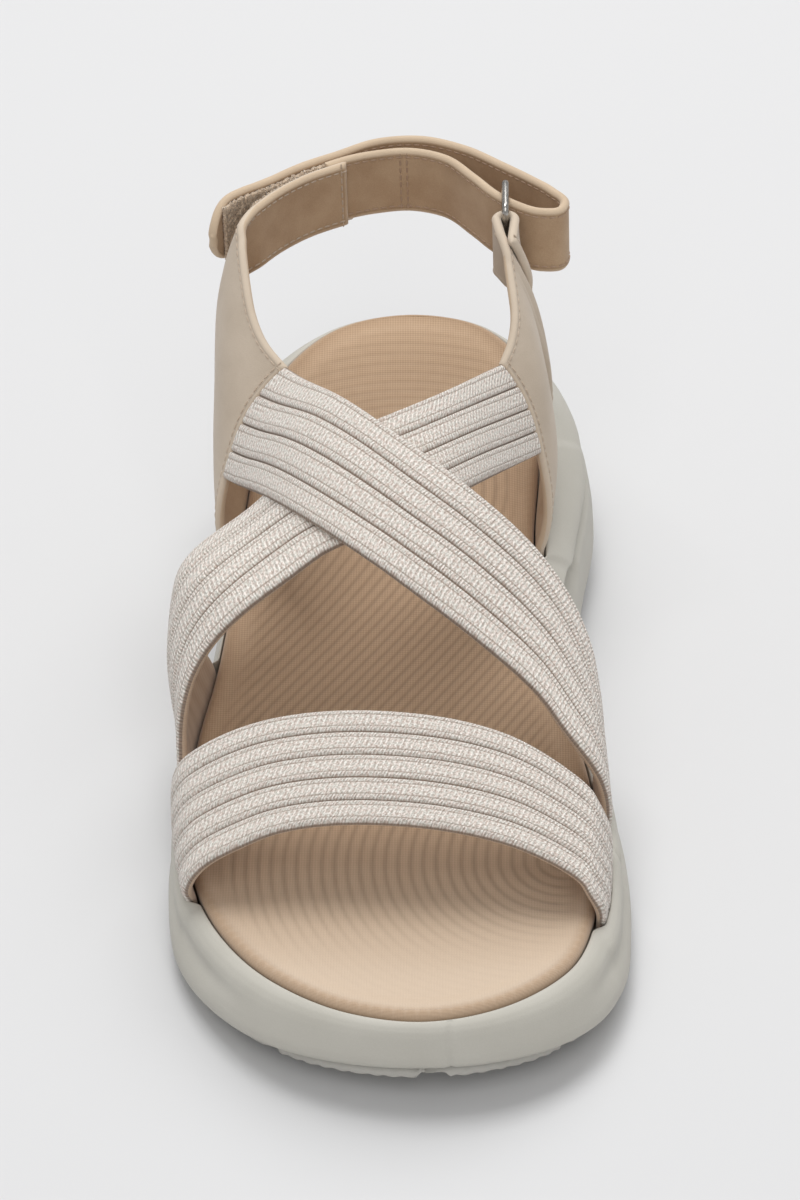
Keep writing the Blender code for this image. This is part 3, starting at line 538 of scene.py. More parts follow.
def line_phase(x, y):
    """Turns of the wandering lines at a place: circles round one point at the toe, x less the
    slopes' sum in the midfoot, and circles round another point at the heel, over the pitch."""
    steps = np.linspace(-66, 132, 500)
    slope = smooth(LINE_SLOPES[:, 0], LINE_SLOPES[:, 1], steps)
    sideways = np.concatenate([[0], np.cumsum((slope[1:] + slope[:-1]) / 2 * np.diff(steps))])
    toe = TOE_ARC[0] - np.hypot(TOE_ARC[0] - x, np.minimum(y - TOE_ARC[1], 0))
    middle = toe - np.interp(y, steps, sideways)
    heel = np.hypot(x - HEEL_ARC[0], np.maximum(y - HEEL_ARC[1], 0)) - 60
    return (middle + (heel - middle) * fade(y, *HEEL_LINES)) / LINE_PITCH


def footbed_top(points, share):
    """Edge height less the dish, which is deepest in the middle."""
    y = points[..., 1]
    depth = smooth(HEIGHTS[:, 0], HEIGHTS[:, 3], y)
    ends = fade(y, *DISH_TOE_END) * (1 - fade(y, *DISH_HEEL_END))
    return footbed_edge(y) - depth * ends * np.sin(math.pi * share) ** 0.8


def half_tone(colour):
    """A colour at half its brightness."""
    return tuple(part / 2 for part in colour[:3]) + (1,)


def footbed_lines(tree, along, colour, height, dark):
    """Soft ripples = a sine of the line attribute, weaker at both tips and near the border, whose
    valleys darken the cloth as painted shade. The cloth is painted paler towards the toe as painted
    light, darker along its border, and a valley runs inside the edge."""
    phase = add(tree, "ShaderNodeAttribute", attribute_name="line").outputs["Fac"]
    border = add(tree, "ShaderNodeAttribute", attribute_name="edge").outputs["Fac"]
    # Painted light: the cloth turns paler from the midfoot to the toe tip
    toe = ramp(tree, along, -50.0, -105.0)
    colour = mixed(tree, times(tree, toe, 0.75), colour, TOE_PAINTED_LIGHT)
    colour = mixed(tree, times(tree, ramp(tree, border, 3.4, 1.2), 0.65), colour, dark)
    ripple = math_node(tree, "SINE", times(tree, phase, 2 * math.pi))
    ripple = math_node(tree, "POWER", math_node(tree, "MULTIPLY_ADD", ripple, 0.5, 0.5), 2.2)
    ends = times(tree, ramp(tree, along, -98.0, -72.0, 0.1), ramp(tree, along, 95.0, 55.0, 0.35))
    ripple = times(tree, times(tree, ripple, ends), ramp(tree, border, 4.0, 9.0))
    # Painted shade: the ripples' valleys are darkened towards half the dark tone, weaker at both tips
    colour = mixed(tree, times(tree, ripple, 0.32), colour, half_tone(dark))
    height = math_node(tree, "SUBTRACT", height, times(tree, ripple, RIPPLE_DEPTH))
    valley = math_node(tree, "ABSOLUTE", math_node(tree, "SUBTRACT", border, VALLEY_INSET))
    valley = ramp(tree, valley, VALLEY_REACH, 0.0, interpolation_type="SMOOTHSTEP")
    return colour, math_node(tree, "SUBTRACT", height, times(tree, valley, VALLEY_DEPTH))


def textile(name, light, dark, pitch, lines):
    """Woven lining: two crossing diagonal waves make a fine twill, with the footbed's lines or not."""
    made, tree, shader = new_material(name, 0.9, Specular_IOR_Level=0.2, Sheen_Weight=0.25,
                                      Sheen_Roughness=0.5)
    where = add(tree, "ShaderNodeUVMap", uv_map="cloth").outputs[0]
    split = add(tree, "ShaderNodeSeparateXYZ", {0: where}).outputs
    turn = 2 * math.pi / pitch
    down = math_node(tree, "SINE", times(tree, math_node(tree, "ADD", split[0], split[1]), turn))
    up = math_node(tree, "SINE", times(tree, math_node(tree, "SUBTRACT", split[0], split[1]), turn))
    weave = math_node(tree, "MULTIPLY_ADD", times(tree, down, up), 0.5, 0.5)
    cloud = noise(tree, where, 0.35, 4.0)
    tone = math_node(tree, "ADD", times(tree, weave, 0.7), times(tree, cloud, 0.3))
    colour, height = mixed(tree, tone, dark, light), times(tree, weave, 0.5)
    if lines:
        colour, height = footbed_lines(tree, split[1], colour, height, dark)
    tree.links.new(colour, shader.inputs["Base Color"])
    bumped(tree, shader, height, 0.6, 0.2)
    return made


FOOTBED_TEXTILE = textile("footbed textile", (0.60, 0.43, 0.29, 1), (0.385, 0.255, 0.158, 1), 1.25, True)


def make_footbed():
    """Rings in from the edge on a quarter circle, then rows from side to side over the dish."""
    floor = rim_height(FOOTBED[:, 1]) - POCKET_DEPTH + GAP
    top = footbed_edge(FOOTBED[:, 1])
    rings = [np.column_stack([pushed(FOOTBED, -0.4), floor])]
    for turn in np.linspace(-0.25, 1, 9) * math.pi / 2:
        inward = EDGE_ROUND * (1 - math.cos(turn))
        rings.append(np.column_stack([pushed(FOOTBED, -inward), top - EDGE_ROUND * (1 - math.sin(turn))]))
    piece = stack("footbed", rings, [FOOTBED_TEXTILE], tops=(None, footbed_top), columns=(1, DISH_ROWS))
    mesh = piece.data
    spots = np.empty(len(mesh.vertices) * 3)
    mesh.vertices.foreach_get("co", spots)
    spots = spots.reshape(-1, 3) / MM
    plan = spots[:, :2]
    border = np.min([np.linalg.norm(plan - point, axis=1) for point in FOOTBED[::4]], axis=0)
    for key, values in (("line", line_phase(plan[:, 0], plan[:, 1])), ("edge", border)):
        mesh.attributes.new(key, "FLOAT", "POINT").data.foreach_set("value", values.astype(np.float32))
    corners = np.empty(len(mesh.loops), np.int32)
    mesh.loops.foreach_get("vertex_index", corners)
    layer = mesh.uv_layers.new(name="cloth")
    layer.data.foreach_set("uv", spots[corners, :2].ravel())
    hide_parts("insole")


make_footbed()

# Front strap
# Wide knitted webbing over the toes: padded ribs with dark grooves between them, a tan lining,
# and both ends glued down between the foam and the footbed.

EDGE_STEPS = (0.0, 0.05, 0.18, 0.42, 0.75, 1.1)
EDGE_RADIUS = 1.1
WEBBING_THICK = 2.2
RIB_HEIGHT = 0.4
GROOVE_DEPTH = 0.6
LINE_GROOVE = 0.16
FRONT_RIBS = 5
CROWN_POWER = 7
GROOVE_WIDTH = 0.035
LINE_WIDTH = 0.03
SHARE_OF_LINES = (0.25, 0.75)
LAST_SQUARENESS = 2.35
SOFTENED = 40
WIDEST_SHARE = 0.33
SLOT_SHARE = 0.55
SLOT_SUNK = 5.1
SLOT_CLEAR = 0.4
SLOT_RIBS_END = (-16, -4)

# The last that the straps are pulled over: y, height of its top, lateral x, medial x
LAST = np.array([
    (-100, 32.0, -42.5, 44.5), (-80, 40.0, -46.0, 47.2), (-65, 46.0, -48.2, 48.0), (-50, 52.0, -49.2, 47.2),
    (-32, 60.0, -48.2, 46.0), (-10, 69.5, -51.0, 45.4), (8, 77.0, -49.6, 42.8), (30, 84.0, -43.0, 38.6),
    (50, 88.5, -39.5, 37.0), (70, 92.0, -39.5, 36.0),
])
# A strap's rows: y and turn of its front edge, y and turn of its rear edge. The turn is 0 on
# the medial side, 90 on top and 180 on the lateral side; -90 and 270 are in the slots.
FRONT_STRAP = np.array([
    (-87.0, -88, -62.0, -88), (-87.5, -45, -62.5, -45), (-89.0, 0, -63.5, 0), (-86.0, 30, -60.5, 30),
    (-81.0, 60, -54.0, 60), (-77.7, 90, -50.5, 90), (-77.5, 120, -49.5, 120), (-80.0, 145, -49.5, 150),
    (-80.0, 180, -47.0, 180), (-77.0, 225, -44.5, 225), (-76.0, 268, -44.0, 268),
], float)


def last_point(y, turn):
    """A superellipse arch over the foot, and half a cosine wave down each side into the slots."""
    y, turn = np.broadcast_arrays(np.asarray(y, float), np.asarray(turn, float))
    base = rim_height(y) - POCKET_DEPTH + SLOT_CLEAR
    top, lateral, medial = (smooth(LAST[:, 0], LAST[:, k], y) for k in (1, 2, 3))
    widest = base + WIDEST_SHARE * (top - base)
    angle = np.radians(np.clip(turn, 0, 180))
    reach = (np.abs(np.cos(angle)) ** LAST_SQUARENESS
             + np.abs(np.sin(angle)) ** LAST_SQUARENESS) ** (-1 / LAST_SQUARENESS)
    on_medial = turn < 90
    x = reach * np.cos(angle) * np.where(on_medial, medial, -lateral)
    z = widest + (top - widest) * reach * np.sin(angle)
    down = np.clip(np.where(on_medial, -turn, turn - 180) / 90, 0, 1)
    slot = np.where(on_medial, edge_x(FOOTBED, "medial", y) + GAP, edge_x(FOOTBED, "lateral", y) - GAP)
    side = np.where(on_medial, medial, lateral)
    bend = np.clip(down / SLOT_SHARE, 0, 1)
    sunk = np.clip((down - SLOT_SHARE) / (1 - SLOT_SHARE), 0, 1)
    below = (turn < 0) | (turn > 180)
    x = np.where(below, slot + (side - slot) * (0.5 + 0.5 * np.cos(math.pi * bend)), x)
    z = np.where(below, widest - (widest - base - SLOT_SUNK) * bend - SLOT_SUNK * sunk, z)
    return np.stack([x, y, z], axis=-1)


def last_normal(y, turn):
    """Outward direction of the last: the cross product of two short steps on it."""
    along = last_point(y + 0.5, turn) - last_point(y - 0.5, turn)
    across = last_point(y, turn + 0.5) - last_point(y, turn - 0.5)
    out = unit(np.cross(across, along))
    away = last_point(y, turn) - [0, 0, 20]
    return out * np.sign((out * [1, 0, 1] * away).sum(-1, keepdims=True))


def shares_across(length, fine, step):
    """Shares from 0 to 1 across a width in mm: close together at both edges, then even."""
    near = np.array(fine) / length
    inner = np.linspace(near[-1], 1 - near[-1], max(int((1 - 2 * near[-1]) * length / step), 3))
    return np.concatenate([near[:-1], inner, 1 - near[:-1][::-1]])


def edge_round(distance, radius):
    """Half thickness as a share near a rounded edge: a quarter circle of that radius."""
    t = np.clip(distance / radius, 0, 1)
    return np.sqrt(np.clip(1 - (1 - t) ** 2, 0, 1))


def shell(name, base, out, outer, inner, materials, uv, edge=None, lined=None):
    """A sheet with its border closed: base + out * outer on one side and base + out * inner on
    the other. On the border both are equal, and the two sides share their points. The inner
    side has the second material, on as many of its rows as are lined."""
    rows, columns = base.shape[:2]
    first = base + out * outer[..., None]
    second = base + out * inner[..., None]
    index = np.arange(rows * columns).reshape(rows, columns)
    other = index + rows * columns
    border = np.ones((rows, columns), bool)
    border[1:-1, 1:-1] = False
    other = np.where(border, index, other)
    front, back = grid_faces(index), grid_faces(other)[:, ::-1]
    used = np.concatenate([np.ones(rows * columns, bool), ~border.ravel()])
    number = np.cumsum(used) - 1
    points = np.concatenate([first.reshape(-1, 3), second.reshape(-1, 3)])[used]
    faces = number[np.concatenate([front, back])]
    lining = np.arange(len(front)) < (rows if lined is None else lined) * (columns - 1)
    side = np.concatenate([np.zeros(len(front), int), lining]) if len(materials) > 1 else None
    both = np.concatenate([uv.reshape(-1, 2)] * 2)[used]
    edges = None if edge is None else np.concatenate([edge.ravel()] * 2)[used]
    return make_mesh(name, points, faces.tolist(), materials, side, both, edges)


def rib_relief(share, ribs):
    """Height over the webbing's plain face: crowned ribs, a deep groove between two of them and
    a fine groove beside each rib's two quarter lines."""
    place_in = share * ribs - np.floor(np.clip(share * ribs, 0, ribs - 1e-6))
    crown = RIB_HEIGHT * (1 - np.abs(2 * place_in - 1) ** CROWN_POWER)
    between = np.minimum(place_in, 1 - place_in)
    inside = (share * ribs > 0.5) & (share * ribs < ribs - 0.5)
    deep = GROOVE_DEPTH * np.exp(-(between / GROOVE_WIDTH) ** 2) * inside
    fine = sum(LINE_GROOVE * np.exp(-((place_in - line) / LINE_WIDTH) ** 2) for line in SHARE_OF_LINES)
    return crown - deep - fine


def webbing_strap(name, rows, ribs, lift=None, seam=None, above=None):
    """The strap's table is read at even steps of its middle line, and each row is a straight
    share from the front edge to the rear edge on the last, and then softened along the strap.
    Ribs fade out in the slots. Above holds the places on the last and the shifts of a strap
    that lies over this one."""
    middle = last_point((rows[:, 0] + rows[:, 2]) / 2, (rows[:, 1] + rows[:, 3]) / 2)
    knots = run_length(middle)
    shares = shares_across(knots[-1], EDGE_STEPS, 0.6)
    edges = [smooth(knots, rows[:, k], shares * knots[-1]) for k in range(4)]
    front_y, front_turn, rear_y, rear_turn = edges
    across = shares_across(26.0, EDGE_STEPS, 0.24)
    y = front_y[:, None] + (rear_y - front_y)[:, None] * across
    turn = front_turn[:, None] + (rear_turn - front_turn)[:, None] * across
    places, out = last_point(y, turn), last_normal(y, turn)
    base = places
    if seam is not None:
        even = np.linspace(0, 1, len(seam))
        line = np.stack([np.interp(across, even, seam[:, k]) for k in range(3)], axis=-1)
        base = to_seam(base, shares, line - out[-1] * WEBBING_THICK / 2)
    if above is not None:
        base = base + pressed(places, *above)
    shifts = base - places
    if lift is not None:
        base = base + out * lift(y, turn)[..., None]
    for _ in range(SOFTENED):
        base[1:-1] = (base[:-2] + 2 * base[1:-1] + base[2:]) / 4
    along_mm, across_mm = run_length(base, 0), run_length(base, 1)
    from_end = np.minimum(along_mm, along_mm[-1] - along_mm)
    from_side = np.minimum(across_mm, across_mm[:, -1:] - across_mm)
    rounded = edge_round(np.minimum(from_end, from_side), EDGE_RADIUS)
    in_slot = fade(np.maximum(-turn, turn - 180) - 90 * SLOT_SHARE, *SLOT_RIBS_END)
    half = WEBBING_THICK / 2
    outer = half + (half + rib_relief(across, ribs) * (1 - in_slot)) * rounded
    inner = half - half * rounded
    uv = np.stack([along_mm, np.broadcast_to(across * ribs, along_mm.shape)], axis=-1)
    return shell(name, base, out, outer, inner, [KNIT, LINING], uv), (places, shifts)


def knit_material():
    """Melange knit. The uv map is in mm along the strap and in ribs across it: upright bars on
    each rib's middle, a twisted cord on both sides of them, a fine dark line between the two
    and a brown groove between the ribs. Flecks of cream, pink and grey run through it all."""
    made, tree, shader = new_material("webbing knit", 0.9, Specular_IOR_Level=0.2, Sheen_Weight=0.25,
                                      Sheen_Roughness=0.6)
    where = add(tree, "ShaderNodeUVMap", uv_map="cloth").outputs[0]
    split = add(tree, "ShaderNodeSeparateXYZ", {0: where}).outputs
    flat = add(tree, "ShaderNodeCombineXYZ", {0: split[0], 1: times(tree, split[1], 5.2)}).outputs[0]
    rib = math_node(tree, "FRACT", split[1])
    middle = math_node(tree, "ABSOLUTE", math_node(tree, "SUBTRACT", rib, 0.5))
    along = math_node(tree, "MULTIPLY_ADD", noise(tree, flat, 0.45, 1.0), 0.45, split[0])

    def wave(pitch, slant, power):
        """A power of a sine along the strap, which leans over by the slant across a rib."""
        turns = math_node(tree, "ADD", times(tree, along, 2 * math.pi / pitch), times(tree, rib, slant))
        half = math_node(tree, "MULTIPLY_ADD", math_node(tree, "SINE", turns), 0.5, 0.5)
        return math_node(tree, "POWER", half, power)

    bars, cord, threads = wave(1.2, 0.0, 0.7), wave(0.8, 14.0, 0.9), wave(0.6, 9.0, 1.0)
    in_middle = ramp(tree, middle, 0.27, 0.22)
    stitch = add(tree, "ShaderNodeMix", {0: in_middle, 2: cord, 3: bars}).outputs[0]
    groove = ramp(tree, middle, 0.455, 0.482)
    line = ramp(tree, math_node(tree, "ABSOLUTE", math_node(tree, "SUBTRACT", middle, 0.25)), 0.035, 0.008)
    fleck = ramp(tree, noise(tree, flat, 2.2), 0.40, 0.60)
    tint = ramp(tree, noise(tree, flat, 1.3, 1.0), 0.42, 0.58)
    yarn = mixed(tree, tint, (0.80, 0.69, 0.62, 1), (0.76, 0.75, 0.68, 1))
    yarn = mixed(tree, times(tree, fleck, 0.6), yarn, (0.98, 0.94, 0.89, 1))
    gap = mixed(tree, tint, (0.38, 0.30, 0.25, 1), (0.41, 0.36, 0.31, 1))
    tone = math_node(tree, "MULTIPLY_ADD", fleck, 0.5, times(tree, stitch, 0.4))
    tone = math_node(tree, "MULTIPLY_ADD", threads, 0.2, tone)
    colour = mixed(tree, tone, gap, yarn)
    colour = mixed(tree, times(tree, line, 0.7), colour, (0.30, 0.23, 0.18, 1))
    colour = mixed(tree, times(tree, groove, 0.85), colour, (0.20, 0.13, 0.085, 1))
    tree.links.new(colour, shader.inputs["Base Color"])
    bumped(tree, shader, math_node(tree, "MULTIPLY_ADD", fleck, 0.35, stitch), 0.7, 0.28)
    return made


KNIT = knit_material()
LINING = textile("strap lining", (0.55, 0.42, 0.31, 1), (0.40, 0.28, 0.19, 1), 1.1, False)

front_strap, _ = webbing_strap("front_webbing", FRONT_STRAP, FRONT_RIBS)
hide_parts("front_strap")

# Crossing straps
# Two straps of the same webbing with four ribs each. The upper one runs from the medial side
# of the toes to the lateral quarter, rides over the lower one, and is sewn to it where they cross.

CROSSING_RIBS = 4
CROSSING_LIFT = 2.8
CROSSING_CENTRE = (-9, 4)
CROSSING_REACH = (30, 34)
CROSSING_FADE = (0.6, 1.65)
SEAM_LOW = {"lateral": 51.5, "medial": 55.5}
SEAM_GAP = 0.5
SEAM_DRAWN = 0.62
SEAM_ARCH = 1.4
PRESS_REACH = 28.0
PRESS_BLUR = 5.0
OVER_STRAP = np.array([
    (-57.5, -88, -41.5, -88), (-57.0, -45, -38.5, -45), (-55.5, 0, -30.0, 0), (-51.5, 33, -18.5, 22),
    (-42.5, 48, -8.5, 41), (-32.5, 67, 1.5, 64), (-21.5, 87, 11.5, 82), (-12.0, 101, 21.0, 97),
    (-3.0, 113, 29.0, 109), (9.0, 127, 37.5, 121), (21.0, 141, 45.0, 128), (38.5, 160, 49.2, 132.5),
], float)
UNDER_STRAP = np.array([
    (-40.0, 268, 1.0, 268), (-38.0, 225, 2.0, 225), (-33.5, 180, 4.0, 180), (-26.5, 150, 6.5, 156),
    (-21.5, 130, 9.5, 137), (-17.5, 113, 14.5, 116), (-12.0, 101, 20.5, 97), (-4.0, 84, 26.5, 81),
    (5.5, 65, 34.5, 66), (20.5, 44, 42.5, 54), (44.0, 24.5, 49.2, 44.5),
], float)
# Quarters, from the seam to the heel: low x, y, z, top x, y, z and swell. A low z of 0 stands
# for the bottom of the slot.
LATERAL_QUARTER = [(-39, 34, 0, -25.0, 50.5, 77.0, -7.0), (-39, 45, 0, -30.0, 55.5, 81.0, -7.2),
                   (-38, 55, 0, -32.8, 61, 85.3, -7.2), (-37, 64, 0, -34.2, 67, 90.0, -7.0),
                   (-36, 70.5, 0, -34.9, 71.5, 93.4, -6.8), (-40.2, 77.5, 56, -35.3, 76.5, 96.5, -3.8),
                   (-39.8, 82.5, 75, -35.3, 81, 98.6, -0.8), (-35.2, 86.5, 80.6, -33.4, 86, 99, -0.2)]
MEDIAL_QUARTER = [(34, 37, 0, 25.0, 50.5, 77.0, 4.8), (34, 46, 0, 27.3, 55.0, 80.8, 5.6),
                  (35, 55, 0, 28.2, 60.0, 84.8, 5.2), (35, 62, 0, 27.9, 64.0, 88.0, 4.4),
                  (35, 67.5, 0, 27.4, 67.5, 90.6, 3.8), (36.4, 70.5, 56, 27.0, 70.5, 92.6, 1.6),
                  (31.2, 74.0, 79.0, 26.3, 74.0, 95.2, 0.6), (26.3, 78.0, 81.3, 25.4, 78.0, 97.6, 0.0)]
LEATHER_THICK = 2.0
STRAIGHT = 3.0


def to_seam(inner, shares, end):
    """A strap leaves the last along it and ends straight at its seam: a cubic from each point."""
    first = np.searchsorted(shares, SEAM_DRAWN)
    start = inner[first]
    chord = end - start
    leaving = start - inner[first - 4]
    length = np.linalg.norm(chord, axis=-1, keepdims=True)
    leaving *= SEAM_ARCH * length / np.linalg.norm(leaving, axis=-1, keepdims=True)
    t = ((shares[first:] - shares[first]) / (1 - shares[first]))[:, None, None]
    drawn = ((2 * t**3 - 3 * t**2 + 1) * start + (t**3 - 2 * t**2 + t) * leaving
             + (3 * t**2 - 2 * t**3) * end + (t**3 - t**2) * chord)
    return np.concatenate([inner[:first], drawn])


def pressed(points, places, shifts):
    """How far the strap that lies above, at places on the last, carries these points with it:
    the mean of its own shifts close by, weighted by exp(-(distance / PRESS_BLUR)^2)."""
    spots, moves = places[::3, ::6].reshape(-1, 3), shifts[::3, ::6].reshape(-1, 3)
    carried = []
    for row in points:
        away = np.linalg.norm(row[:, None] - spots, axis=-1)
        near = away.min(axis=-1, keepdims=True)
        weight = np.exp((near / PRESS_BLUR) ** 2 - (away / PRESS_BLUR) ** 2)
        mean = weight @ moves / weight.sum(axis=-1, keepdims=True)
        carried.append(mean * (1 - fade(near, 0, PRESS_REACH)))
    return np.array(carried)


def quarter_rows(table, side, shares, levels):
    """Middle surface of a quarter: each row goes straight up out of the slot and then on to its
    top, and swells outwards by a flat-topped curve."""
    table = np.column_stack([np.array(table, float), np.full(len(table), STRAIGHT)])
    outward = -1 if side == "lateral" else 1
    in_slot = table[:, 2] == 0
    y = table[in_slot, 1]
    table[in_slot, 0] = edge_x(FOOTBED, side, y) + outward * (GAP + LEATHER_THICK / 2)
    table[in_slot, 2] = rim_height(y) - SLOT_SUNK + 0.5
    table[in_slot, 7] = SLOT_SUNK + 0.1
    knots = run_length(table[:, :3] * 0.4 + table[:, 3:6] * 0.6)
    rows = np.stack([smooth(knots, table[:, k], shares * knots[-1]) for k in range(8)], axis=-1)
    low, top, swell, straight = rows[:, None, 0:3], rows[:, None, 3:6], rows[:, 6], rows[:, 7]
    length = np.linalg.norm(top - low, axis=-1)
    stand = straight[:, None] / length
    mouth = low + straight[:, None, None] * [0, 0, 1]
    up = np.clip(levels[None, :] / stand, 0, 1)
    on = np.clip((levels[None, :] - stand) / (1 - stand), 0, 1)
    line = low + (mouth - low) * up[..., None] + (top - mouth) * on[..., None]
    line[..., 0] += swell[:, None] * (1 - np.abs(2 * on - 1) ** 3)
    return line


def seam_line(table, side):
    """Where a crossing strap is sewn to its quarter, from the strap's front edge to its rear."""
    edge = quarter_rows(table, side, np.linspace(0, 1, 3), np.linspace(0, 1, 40))[0]
    heights = np.linspace(SEAM_LOW[side], edge[-1, 2], 24)
    line = np.stack([np.interp(heights, edge[:, 2], edge[:, k]) for k in range(3)], axis=-1)
    line[:, 1] -= SEAM_GAP
    return line


def crossing_lift(y, turn):
    """The upper strap rises over the lower one inside an ellipse round the crossing."""
    away = (last_point(y, turn)[..., :2] - CROSSING_CENTRE) / CROSSING_REACH
    return CROSSING_LIFT * (1 - fade(np.hypot(away[..., 0], away[..., 1]), *CROSSING_FADE))


over_strap, over_shifts = webbing_strap("over_webbing", OVER_STRAP, CROSSING_RIBS, lift=crossing_lift,
                                        seam=seam_line(LATERAL_QUARTER, "lateral"))
under_strap, _ = webbing_strap("under_webbing", UNDER_STRAP, CROSSING_RIBS,
                               seam=seam_line(MEDIAL_QUARTER, "medial"), above=over_shifts)
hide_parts("cross_straps")
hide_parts("cross_straps")

# Lateral quarter
# Two layers of nubuck with folded edges, sewn all round. It stands up from its slot behind the
# straps' seam, narrows, and runs on round the heel to the seam of the heel strap.

STRAP_BOTTOM = 81.0
STRAP_TOP = 99.0
QUARTER_END = 0.985
BEAD = 0.14
BEAD_INSET = 1.2
BEAD_WIDTH = 0.8
STITCH_INSET = 1.9
STITCH_DENT = 0.12
STITCH_WIDTH = 0.35
STITCH_PITCH = 2.1
STITCH_LENGTH = 1.6
STITCH_RADIUS = 0.24
BACK_PATH = [(-33.4, 86.2), (-28.2, 93.0), (-20.5, 100.0), (-11.5, 105.2)]


def nubuck_material(name, light, dark, pale):
    """Nubuck with a short nap: blotches, a fine tooth and paler folded edges."""
    made, tree, shader = new_material(name, 0.82, Specular_IOR_Level=0.25, Sheen_Weight=0.15,
                                      Sheen_Roughness=0.5)
    where = add(tree, "ShaderNodeTexCoord").outputs["Object"]
    grain = place(tree, GRAIN, Vector=where, Light=light, Dark=dark, Blotch_mm=9.0, Tooth_mm=0.3)
    edge = add(tree, "ShaderNodeAttribute", attribute_name="edge").outputs["Fac"]
    colour = mixed(tree, times(tree, ramp(tree, edge, 1.3, 0.7), 0.55), grain["Colour"], pale)
    crease = math_node(tree, "ABSOLUTE", math_node(tree, "SUBTRACT", edge, 1.45))
    colour = mixed(tree, times(tree, ramp(tree, crease, 0.25, 0.0), 0.35), colour, half_tone(dark))
    tree.links.new(colour, shader.inputs["Base Color"])
    bumped(tree, shader, grain["Height"], 0.4, 0.05)
    return made


NUBUCK = nubuck_material("quarter nubuck", (0.57, 0.48, 0.385, 1), (0.50, 0.415, 0.325, 1),
                         (0.67, 0.56, 0.44, 1))
TAN_NUBUCK = nubuck_material("tan nubuck", (0.52, 0.37, 0.24, 1), (0.40, 0.265, 0.16, 1),
                             (0.68, 0.56, 0.42, 1))


def path_through(points, shares):
    """Points on a smooth path, at shares of its length from 0 to 1."""
    points = np.asarray(points, float)
    knots = run_length(points)
    return np.stack([smooth(knots, points[:, k], np.asarray(shares) * knots[-1])
                     for k in range(points.shape[1])], axis=-1)


def upright(points, levels, bottom=STRAP_BOTTOM, top=STRAP_TOP):
    """A standing band over a path seen from above."""
    grid = np.zeros((len(points), len(levels), 3))
    grid[..., :2] = points[:, None, :]
    grid[..., 2] = bottom + (top - bottom) * levels
    return grid


def grid_normal(grid, outward):
    """Unit cross product of a grid's two directions, times the sign of outward."""
    return unit(np.cross(np.gradient(grid, axis=0), np.gradient(grid, axis=1))) * np.sign(outward)


def leather(name, middle, side, faces, lined=None):
    """A sewn band of nubuck round its middle surface. Its half thickness is a quarter circle at
    the folded edges, with a low bead and the dent of the stitch line inside it. The faces are
    the materials of the side that the normal points to, and of as many rows of the other side
    as are lined."""
    out = grid_normal(middle, side)
    along, across = run_length(middle, 0), run_length(middle, 1)
    closing = np.minimum.reduce([along, along[-1:] - along, across, across[:, -1:] - across])
    bead = BEAD * np.exp(-((closing - BEAD_INSET) / BEAD_WIDTH) ** 2)
    dent = STITCH_DENT * np.exp(-((closing - STITCH_INSET) / STITCH_WIDTH) ** 2)
    half = (LEATHER_THICK / 2 + bead - dent) * edge_round(closing, EDGE_RADIUS)
    uv = np.stack([along, across], axis=-1)
    return shell(name, middle, out, half, -half, faces, uv, closing, lined)


def capsules(name, places, tangents, normals, material):
    """Small rounded rods, one a stitch: rings of a half circle's radius along each tangent."""
    turn = np.linspace(0, math.pi, 7)
    around = np.linspace(0, 2 * math.pi, 6, endpoint=False)
    along = -np.cos(turn) * STITCH_LENGTH / 2
    width = np.maximum(np.sin(turn) ** 0.6 * STITCH_RADIUS, 0.02)
    side = unit(np.cross(normals, tangents))
    ring = np.cos(around)[:, None, None] * side + np.sin(around)[:, None, None] * normals
    points = (places[None, None] + tangents[None, None] * along[:, None, None, None]
              + ring[None] * width[:, None, None, None]).transpose(2, 0, 1, 3)
    index = np.arange(points[..., 0].size).reshape(points.shape[:3])
    faces = np.concatenate([grid_faces(one, closed=True) for one in index]).tolist()
    faces += index[:, 0, ::-1].tolist() + index[:, -1].tolist()
    return make_mesh(name, points.reshape(-1, 3), faces, [material])


def stitch_line(points, normals):
    """Even places along a line, each with its tangent and normal."""
    lengths = run_length(points)
    at = np.arange(STITCH_PITCH / 2, lengths[-1], STITCH_PITCH)

    def read(values):
        """The values at the even places."""
        return np.stack([np.interp(at, lengths, values[:, k]) for k in range(3)], axis=-1)

    return read(points), unit(read(np.gradient(points, axis=0))), unit(read(normals))


def thread_material(name, light, dark):
    """Wound thread: fine noise between a light and a dark tone."""
    made, tree, shader = new_material(name, 0.7)
    where = add(tree, "ShaderNodeTexCoord").outputs["Object"]
    tree.links.new(mixed(tree, noise(tree, where, 1500.0), dark, light), shader.inputs["Base Color"])
    return made


THREAD = thread_material("beige thread", (0.60, 0.49, 0.38, 1), (0.42, 0.33, 0.25, 1))


def sew(name, lines, thread):
    """All the stitches of one piece, as one mesh. Each line is its points and normals."""
    parts = [stitch_line(*line) for line in lines]
    places, tangents, normals = (np.concatenate(group) for group in zip(*parts))
    piece = capsules(name, places, tangents, normals, thread)


def inset_line(middle, side, face, inset, edge, rows=slice(None)):
    """A line on one face of a band, a fixed distance inside its bottom, top, start or end."""
    out = grid_normal(middle, side) * face
    skin = middle + out * (LEATHER_THICK / 2 + 0.02)
    if edge in ("start", "end"):
        skin, out = skin.transpose(1, 0, 2), out.transpose(1, 0, 2)
    if edge in ("top", "end"):
        skin, out = skin[:, ::-1], out[:, ::-1]
    skin, out = skin[rows], out[rows]
    away = run_length(skin, 1)
    both = np.concatenate([skin, out], axis=-1)
    read = np.array([[np.interp(inset, far, line[:, k]) for k in range(6)]
                     for far, line in zip(away, both)])
    return read[:, :3], read[:, 3:]


